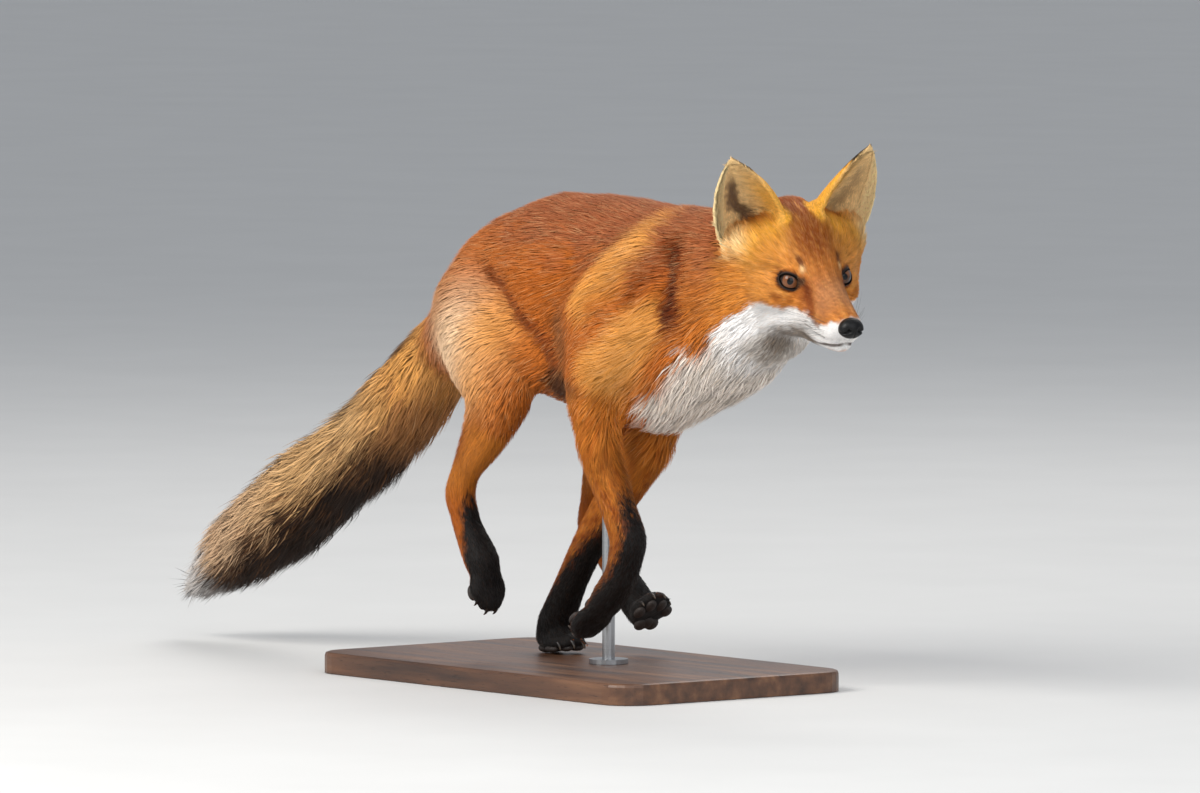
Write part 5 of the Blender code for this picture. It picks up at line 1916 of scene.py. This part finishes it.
@dataclass
class EarLining:
    """The long hair of an ear: it grows in from its edges and up across the foot of its cup."""

    tufts: Tufts
    finish: Material
    count: int = 3600
    curtain: int = 800
    depth: float = 0.0026
    width: float = 0.00055
    clump: float = 0.25

    def build(self, side: int, name: str) -> None:
        """Makes the lining and the curtain of one ear.

        Args:
            side: 1 for the left ear and -1 for the right one.
            name: The side's name.
        """
        frame = ear_frame(side)
        draw = default_rng(SEED + 90 + side)
        parts = (
            ("lining", self._edges(side, frame, draw), 95, 0.25, 0.85),
            ("curtain", self._foot(side, frame, draw), 98, 0.3, 0.0),
        )
        for part, roots, seed, pale, follow in parts:
            piece = f"ear_{part}_{name}"
            made = self.tufts.piece(piece, roots, 2, self.finish, SEED + seed + side, pale, follow)
            belong(made, "ear_coat")

    def _edges(self, side: int, frame: Matrix, draw: Generator) -> Roots:
        """Roots along both edges of the cup."""
        count = self.count
        medial = draw.uniform(size=count) < 0.66
        across = np.where(medial, draw.uniform(-0.99, -0.25, count), draw.uniform(0.66, 1.0, count))
        up = draw.uniform(0.0, 0.9, count)
        sheet = np.array([self._sheet(a * side, u) for a, u in zip(across, up)])
        ahead = np.array([self._sheet((a + 0.02) * side, u) for a, u in zip(across, up)])
        above = np.array([self._sheet(a * side, u + 0.02) for a, u in zip(across, up)])
        outward = unit(ahead - sheet)
        rising = unit(above - sheet)
        inside = unit(np.cross(outward, rising) * side)
        turn = across * side * ear_cup(up)[1]
        inward = inside[:, 0] * np.cos(turn) - inside[:, 1] * np.sin(turn)
        inside = inside * np.where(inward < 0.0, -1.0, 1.0)[:, None]
        lift = (0.1 + 0.75 * up)[:, None]
        flow = np.where(medial[:, None], outward + rising * lift, rising + outward * 0.12)
        length = np.where(medial, draw.uniform(0.011, 0.023, count), draw.uniform(0.006, 0.011, count))
        length = length * (1.0 - 0.45 * up)
        place = through(frame, sheet + inside * 0.14)
        patch = np.column_stack((0.5 + 0.45 * across, 0.05 + 0.9 * up))
        normal, along = through(frame, inside, True), through(frame, flow, True)
        return self._roots(place, normal, along, self.depth, length, patch)

    def _foot(self, side: int, frame: Matrix, draw: Generator) -> Roots:
        """Roots on the head in front of the cup."""
        across = draw.uniform(0.1, 0.98, self.curtain)
        ahead = draw.uniform(-0.6, 0.5, self.curtain) - 0.3 * np.abs(across)
        own = np.column_stack((ahead, 2.55 * across * side, np.full(self.curtain, 0.3)))
        place = through(frame, own)
        for index, spot in enumerate(place):
            place[index] = self.tufts.skin.find_nearest(spot)[0]
        length = draw.uniform(0.006, 0.012, self.curtain) * (0.6 + 0.7 * across)
        rising = np.tile(through(frame, np.array((0.12, 0.0, 1.0)), True), (self.curtain, 1))
        rising = rising + through(frame, np.outer(across, (0.0, 0.25 * side, 0.0)), True)
        back = np.tile(through(frame, np.array((-1.0, 0.0, 0.25)), True), (self.curtain, 1))
        patch = np.column_stack((0.5 + 0.45 * across, 0.02 + 0.05 * (ahead + 0.8)))
        return self._roots(place, rising, back, 0.8 * length, length, patch)

    def _roots(
        self, place: Rows, normal: Rows, flow: Rows, depth: Rows | float, length: Rows, patch: Rows
    ) -> Roots:
        """Roots of fine hair.

        Args:
            place: Where they are.
            normal: The way that hair rises there.
            flow: The way that it lies.
            depth: How thick the coat is.
            length: How long the hair is.
            patch: Where each root is on the piece's map.

        Returns:
            The roots.
        """
        even = np.ones(len(place))
        normal = unit(normal)
        flow = unit(flow - normal * (flow * normal).sum(axis=1, keepdims=True))
        width, clump = even * self.width, even * self.clump
        return Roots(place, normal, flow, depth * even, length, width, clump, patch)

    @staticmethod
    def _sheet(across: float, up: float) -> Place:
        """A place on the middle of an ear's sheet, in its own centimetres."""
        above = min(max(up, 0.0), 0.999)
        half, curl = ear_cup(above)
        turn = across * curl
        radius = half / math.sin(min(curl, math.pi / 2))
        deep = radius * (math.cos(turn) - math.cos(curl))
        return (EAR_TIP_FORWARD * above - deep, radius * math.sin(turn), EAR_HEIGHT * up)


# ---- the face's bare pieces

@dataclass
class Eyes:
    """The glass eyes, with a bulging cornea, and the dark rims of the lids."""

    skin: Skin
    glass: Material
    leather: Material
    cornea: float = 0.05
    rim: float = 0.065
    points: int = 56

    def build(self) -> None:
        """Makes both eyes and both rims."""
        for side, name in SIDES.items():
            belong(self._ball(side, f"eyeball_{name}"), "eye", (f"eye_{name}",))
            belong(self._rim(side, f"lid_rim_{name}"), "nose_leather")

    def _ball(self, side: int, name: str) -> Object:
        """One eye, its pole where it looks."""
        frame = eye_frame(side, EYE_GAZE[side])
        shape = bmesh.new()
        bmesh.ops.create_uvsphere(shape, u_segments=64, v_segments=40, radius=EYE_RADIUS)
        gaze = []
        for vert in shape.verts:
            way = vert.co.normalized()
            off = math.degrees(math.acos(max(-1.0, min(1.0, way.z))))
            vert.co = way * (EYE_RADIUS * (1.0 + self.cornea * math.exp(-((off / 38.0) ** 4))))
            gaze.append(way[:])
        bmesh.ops.transform(shape, matrix=frame, verts=shape.verts[:])
        made = grown(name, shape, self.glass)
        note(made.data, "gaze", "FLOAT_VECTOR", np.array(gaze))
        return made

    def _rim(self, side: int, name: str) -> Object:
        """The rim round one eye's opening, drawn out to a corner at the nose."""
        frame, skin = lid_frame(side), self.skin
        lift = (EYE_RADIUS + 0.03) / EYE_RADIUS
        line, radii = [], []
        for index in range(self.points):
            turn = math.tau * index / self.points
            across = math.cos(turn)
            high = skin.half_high * (1.0 if math.sin(turn) > 0 else skin.lower)
            up = math.copysign(high * max(1.0 - abs(across) ** skin.point, 0.0) ** skin.arch, math.sin(turn))
            wide = across * skin.half_wide
            if across > 0.75:
                wide += (across - 0.75) * 0.8
            deep = math.sqrt(max(EYE_RADIUS**2 - min(wide, 0.86) ** 2 - up * up, 0.02))
            line.append(frame @ (Vector((wide, up, deep)) * lift))
            radii.append(self.rim * CM * (1.4 if up > 0 else 1.0))
        shape = bmesh.new()
        tube(shape, line, radii, 8, ring=True)
        return grown(name, shape, self.leather)


@dataclass
class Nose:
    """The bare nose, with its nostrils and the groove between them."""

    leather: Material

    def build(self) -> None:
        """Makes the nose."""
        shape = bmesh.new()
        bmesh.ops.create_icosphere(shape, subdivisions=6, radius=1.0)
        for vert in shape.verts:
            vert.co = self._sculpted(vert.co.normalized())
        place = HEAD @ Matrix.Translation(NOSE_PLACE) @ Matrix.Diagonal((*NOSE_RADII, 1.0))
        bmesh.ops.transform(shape, matrix=place, verts=shape.verts[:])
        belong(grown("nose_leather", shape, self.leather), "nose_leather", ("nose",))

    @staticmethod
    def _sculpted(way: Vector) -> Vector:
        """One point of the nose, on a ball of radius one, x ahead and z up."""
        wide = abs(way.y)
        front = max(way.x, 0.0)
        pit = math.exp(-(((wide - 0.5) / 0.19) ** 2) - (((way.z + 0.02) / 0.24) ** 2)) * front
        slit = math.exp(-(((way.z + 0.2 + 0.25 * (wide - 0.6)) / 0.1) ** 2)) * clipped((wide - 0.45) * 4.0)
        slit *= clipped((way.x + 0.1) * 2.5)
        groove = math.exp(-((way.y / 0.07) ** 2)) * clipped(0.4 - way.z * 1.4) * front
        lobe = 0.05 * math.exp(-(((wide - 0.75) / 0.2) ** 2) - (((way.z + 0.25) / 0.3) ** 2))
        flat = 0.08 * max(0.0, way.x - 0.6) + 0.10 * max(0.0, -way.z - 0.35)
        return way * (1.02 - 0.38 * pit - 0.2 * slit - 0.1 * groove + lobe - flat)


@dataclass
class Whiskers:
    """The whiskers of both sides."""

    finish: Material
    rows: int = 4
    columns: int = 5

    def build(self) -> None:
        """Makes the whiskers in one piece."""
        draw = default_rng(SEED + 40)
        shape = bmesh.new()
        for side, row, column in product((1, -1), range(self.rows), range(self.columns)):
            out = (1.32 + 0.1 * column) * side
            root = Vector((5.6 - 0.55 * column - 0.1 * row, out, -2.35 - 0.3 * row))
            way = Vector((-0.72 - 0.05 * column, (0.62 - 0.05 * column) * side, 0.14 - 0.11 * row))
            self._hair(shape, root, way, 3.0 + 0.7 * column + draw.uniform(-0.4, 0.6), side, draw)
        belong(grown("whiskers", shape, self.finish), "claw_horn")

    @staticmethod
    def _hair(shape: BMesh, root: Vector, way: Vector, length: float, side: int, draw: Generator) -> None:
        """Adds one whisker, curving back and down.

        Args:
            shape: What it is added to.
            root: Where it grows, in the head's centimetres.
            way: The way that it sets out.
            length: How long it is.
            side: 1 on the left and -1 on the right.
            draw: Where random numbers come from.
        """
        way = (way + Vector(draw.normal(0.0, 0.05, 3))).normalized()
        bend = Vector((-0.5, -0.25 * side, -0.35)) * draw.uniform(0.12, 0.3)
        line, radii = [], []
        for index in range(7):
            part = index / 6
            line.append(HEAD @ (root - way * 0.15 + way * length * part + bend * length * part * part))
            radii.append((0.01 * (1.0 - part) ** 0.8 + 0.0015) * CM)
        tube(shape, line, radii, 5)


# ---- paws, stand and studio

@dataclass
class Paws:
    """The claws and the bare pads of the four paws."""

    horn: Material
    leather: Material
    toes: tuple = (
        ((0.6, -1.35, -0.05), (1.45, 0.72, 0.82)),
        ((1.45, -0.52, 0.1), (1.55, 0.7, 0.9)),
        ((1.45, 0.52, 0.1), (1.55, 0.7, 0.9)),
        ((0.6, 1.35, -0.05), (1.45, 0.72, 0.82)),
    )
    bends: int = 6
    sides: int = 10

    def build(self) -> None:
        """Makes the claws and the pads."""
        claws, pads = bmesh.new(), bmesh.new()
        along: list[float] = []
        for paw, (_, _, _, size, _) in PAWS.items():
            frame = paw_frame(paw) @ Matrix.Scale(size, 4)
            for place, radii in self.toes:
                along += self._claw(claws, frame, Vector(place), radii)
                centre = Vector(place) + Vector((0.25, 0.0, -radii[2] * 0.62))
                self._pad(pads, frame, centre, (radii[0] * 0.52, radii[1] * 0.72, 0.34))
            for sign in (-1, 0, 1):
                heel = Vector((-0.75 - 0.25 * abs(sign), 0.55 * sign, -0.66))
                self._pad(pads, frame, heel, (0.8, 0.62, 0.4))
        made = grown("claws", claws, self.horn)
        note(made.data, "along", "FLOAT", np.array(along))
        belong(made, "claw_horn")
        belong(grown("paw_pads", pads, self.leather), "nose_leather")

    def _claw(self, shape: BMesh, frame: Matrix, place: Vector, radii: Place) -> list[float]:
        """Adds one curved claw.

        Args:
            shape: What it is added to.
            frame: The paw's frame.
            place: The middle of its toe.
            radii: The toe's half sizes.

        Returns:
            How far along the claw each of its points is.
        """
        root = place + Vector((radii[0] * 0.62, 0.0, 0.12))
        line, widths = [], []
        for index in range(self.bends + 1):
            part = index / self.bends
            dip = math.radians(18.0 + 62.0 * part)
            step = Vector((math.cos(dip), 0.0, -math.sin(dip))) * (0.95 / self.bends)
            root = root + step if index else root
            line.append(frame @ root)
            widths.append((0.18 * (1.0 - part) ** 0.75 + 0.02) * CM)
        before = len(shape.verts)
        tube(shape, line, widths, self.sides)
        return [min(index // self.sides / self.bends, 1.0) for index in range(len(shape.verts) - before)]

    @staticmethod
    def _pad(shape: BMesh, frame: Matrix, centre: Vector, radii: Place) -> None:
        """Adds one rounded pad."""
        place = frame @ Matrix.Translation(centre) @ Matrix.Diagonal((*radii, 1.0))
        bmesh.ops.create_icosphere(shape, subdivisions=3, radius=1.0, matrix=place)


@dataclass
class Studio:
    """The floor, the lights and the camera.

    across is how wide the view is at the stand, and right and above are how far the view's middle
    is from the middle of the base's top, in metres.
    """

    azimuth: float = 52.0
    elevation: float = 4.0
    distance: float = 14.0
    across: float = 1.03448
    right: float = 0.01724
    above: float = 0.22716
    film: float = 36.0

    def build(self, floor: Material) -> None:
        """Sets the studio up."""
        shape = bmesh.new()
        bmesh.ops.create_grid(shape, x_segments=2, y_segments=2, size=40.0)
        bmesh.ops.translate(shape, vec=(0.0, 0.0, -0.0005), verts=shape.verts[:])
        grown("floor", shape, floor)
        self._camera()
        self._light("key", (110.0, 36.0), 3.4, 1.9, 100.0, (1.0, 0.97, 0.92))
        self._light("front", (40.0, 26.0), 3.6, 3.0, 42.0, (0.96, 0.98, 1.0))
        self._light("rim", (-105.0, 48.0), 3.4, 1.8, 34.0, (1.0, 0.97, 0.93))
        world = bpy.data.worlds.new("studio")
        world.use_nodes = True
        sky = world.node_tree.nodes["Background"]
        sky.inputs["Color"].default_value = (0.9, 0.94, 1.0, 1.0)
        sky.inputs["Strength"].default_value = 0.48
        bpy.context.scene.world = world
        bpy.context.scene.view_settings.view_transform = "Standard"

    def _axes(self) -> tuple[Vector, Vector, Vector]:
        """The camera's right, its up and the way back to it."""
        turn = math.radians(self.azimuth)
        back = self._way(self.azimuth, self.elevation)
        right = Vector((math.cos(turn), math.sin(turn), 0.0))
        return right, back.cross(right), back

    @staticmethod
    def _way(around: float, above: float) -> Vector:
        """The direction so many degrees round from the fox's right side and above the floor."""
        turn, tilt = math.radians(around), math.radians(above)
        return Vector((math.sin(turn) * math.cos(tilt), -math.cos(turn) * math.cos(tilt), math.sin(tilt)))

    def _camera(self) -> None:
        """Places the camera."""
        right, up, back = self._axes()
        aim = Vector((0.0, 0.0, BASE_TOP)) + right * self.right + up * self.above
        lens = bpy.data.cameras.new("camera")
        lens.sensor_width = self.film
        lens.lens = self.film * self.distance / self.across
        lens.clip_end = 100.0
        held = put("camera", lens)
        turn = Matrix((right, up, back)).transposed().to_4x4()
        held.matrix_world = Matrix.Translation(aim + back * self.distance) @ turn
        bpy.context.scene.camera = held

    def _light(
        self, name: str, around: tuple[float, float], far: float, size: float, power: float, colour: Place
    ) -> None:
        """Adds one soft lamp.

        Args:
            name: Its name.
            around: How far it stands round from the camera, clockwise, and above the floor, in degrees.
            far: How far off it stands.
            size: The side of its square.
            power: Its watts.
            colour: Its colour.
        """
        way = self._way(self.azimuth - around[0] + 60.0, around[1])
        lamp = bpy.data.lights.new(name, "AREA")
        lamp.shape = "SQUARE"
        lamp.size = size
        lamp.energy = power
        lamp.color = colour
        place = Matrix.Translation(way * far + Vector((0.0, 0.0, 0.25)))
        put(name, lamp).matrix_world = place @ way.to_track_quat("Z", "Y").to_matrix().to_4x4()


def finish_stand() -> None:
    """Gives the stand's own solids their finishes."""
    for name, finish in (("stand_base", WoodFinish().made()), ("stand_rod", SteelFinish().made())):
        mesh = bpy.data.objects[name].data
        slots = bpy.data.objects[name].material_slots
        for slot in slots:
            slot.material = finish
        if not slots:
            mesh.materials.append(finish)


def main() -> None:
    """Builds the fox, its stand and the studio."""
    logging.basicConfig(level=logging.INFO, format="%(message)s")
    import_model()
    studio = Studio()
    studio.build(FloorFinish().made())
    finish_stand()
    lie, marks = LieOfCoat(), MarkingsAndShade()
    skin = Skin(lie)
    skin.build(SkinFinish().made(), marks)
    coats = {
        "russet_coat": CoatFinish("fox_coat").made(),
        "ear_coat": CoatFinish("fox_ear_coat", root_tone=1.05, hairs=2.4, contrast=0.24).made(),
        "bib": CoatFinish("fox_bib_coat", root_tone=0.8, contrast=0.32).made(),
        "black_stocking": CoatFinish("fox_leg_coat", 0.75, 0.55, pale=(120, 84, 58)).made(),
        "tail_coat": CoatFinish("fox_tail_coat", pale=(236, 204, 160), dark=(36, 22, 16)).made(),
    }
    tufts = Tufts(marks, skin.tree())
    Coat(skin, lie, tufts, coats).build()
    lining = EarLining(tufts, coats["ear_coat"])
    for side, name in SIDES.items():
        lining.build(side, name)
    rims = LeatherFinish("lid_leather", (8, 6, 5), 2200.0, 0.00005, 0.75, 0.0, 0.06)
    Eyes(skin, EyeFinish().made(), rims.made()).build()
    nose = LeatherFinish("nose_skin", (5, 5, 6), coat=0.18, shine=0.18)
    Nose(nose.made()).build()
    Whiskers(LeatherFinish("whisker_hair", (34, 26, 22), 400.0, 0.00001, 0.4, 0.1).made()).build()
    pads = LeatherFinish("pad_skin", (38, 31, 28), 1300.0, 0.0003, 0.55, 0.05)
    Paws(HornFinish().made(), pads.made()).build()


if __name__ == "__main__":
    main()
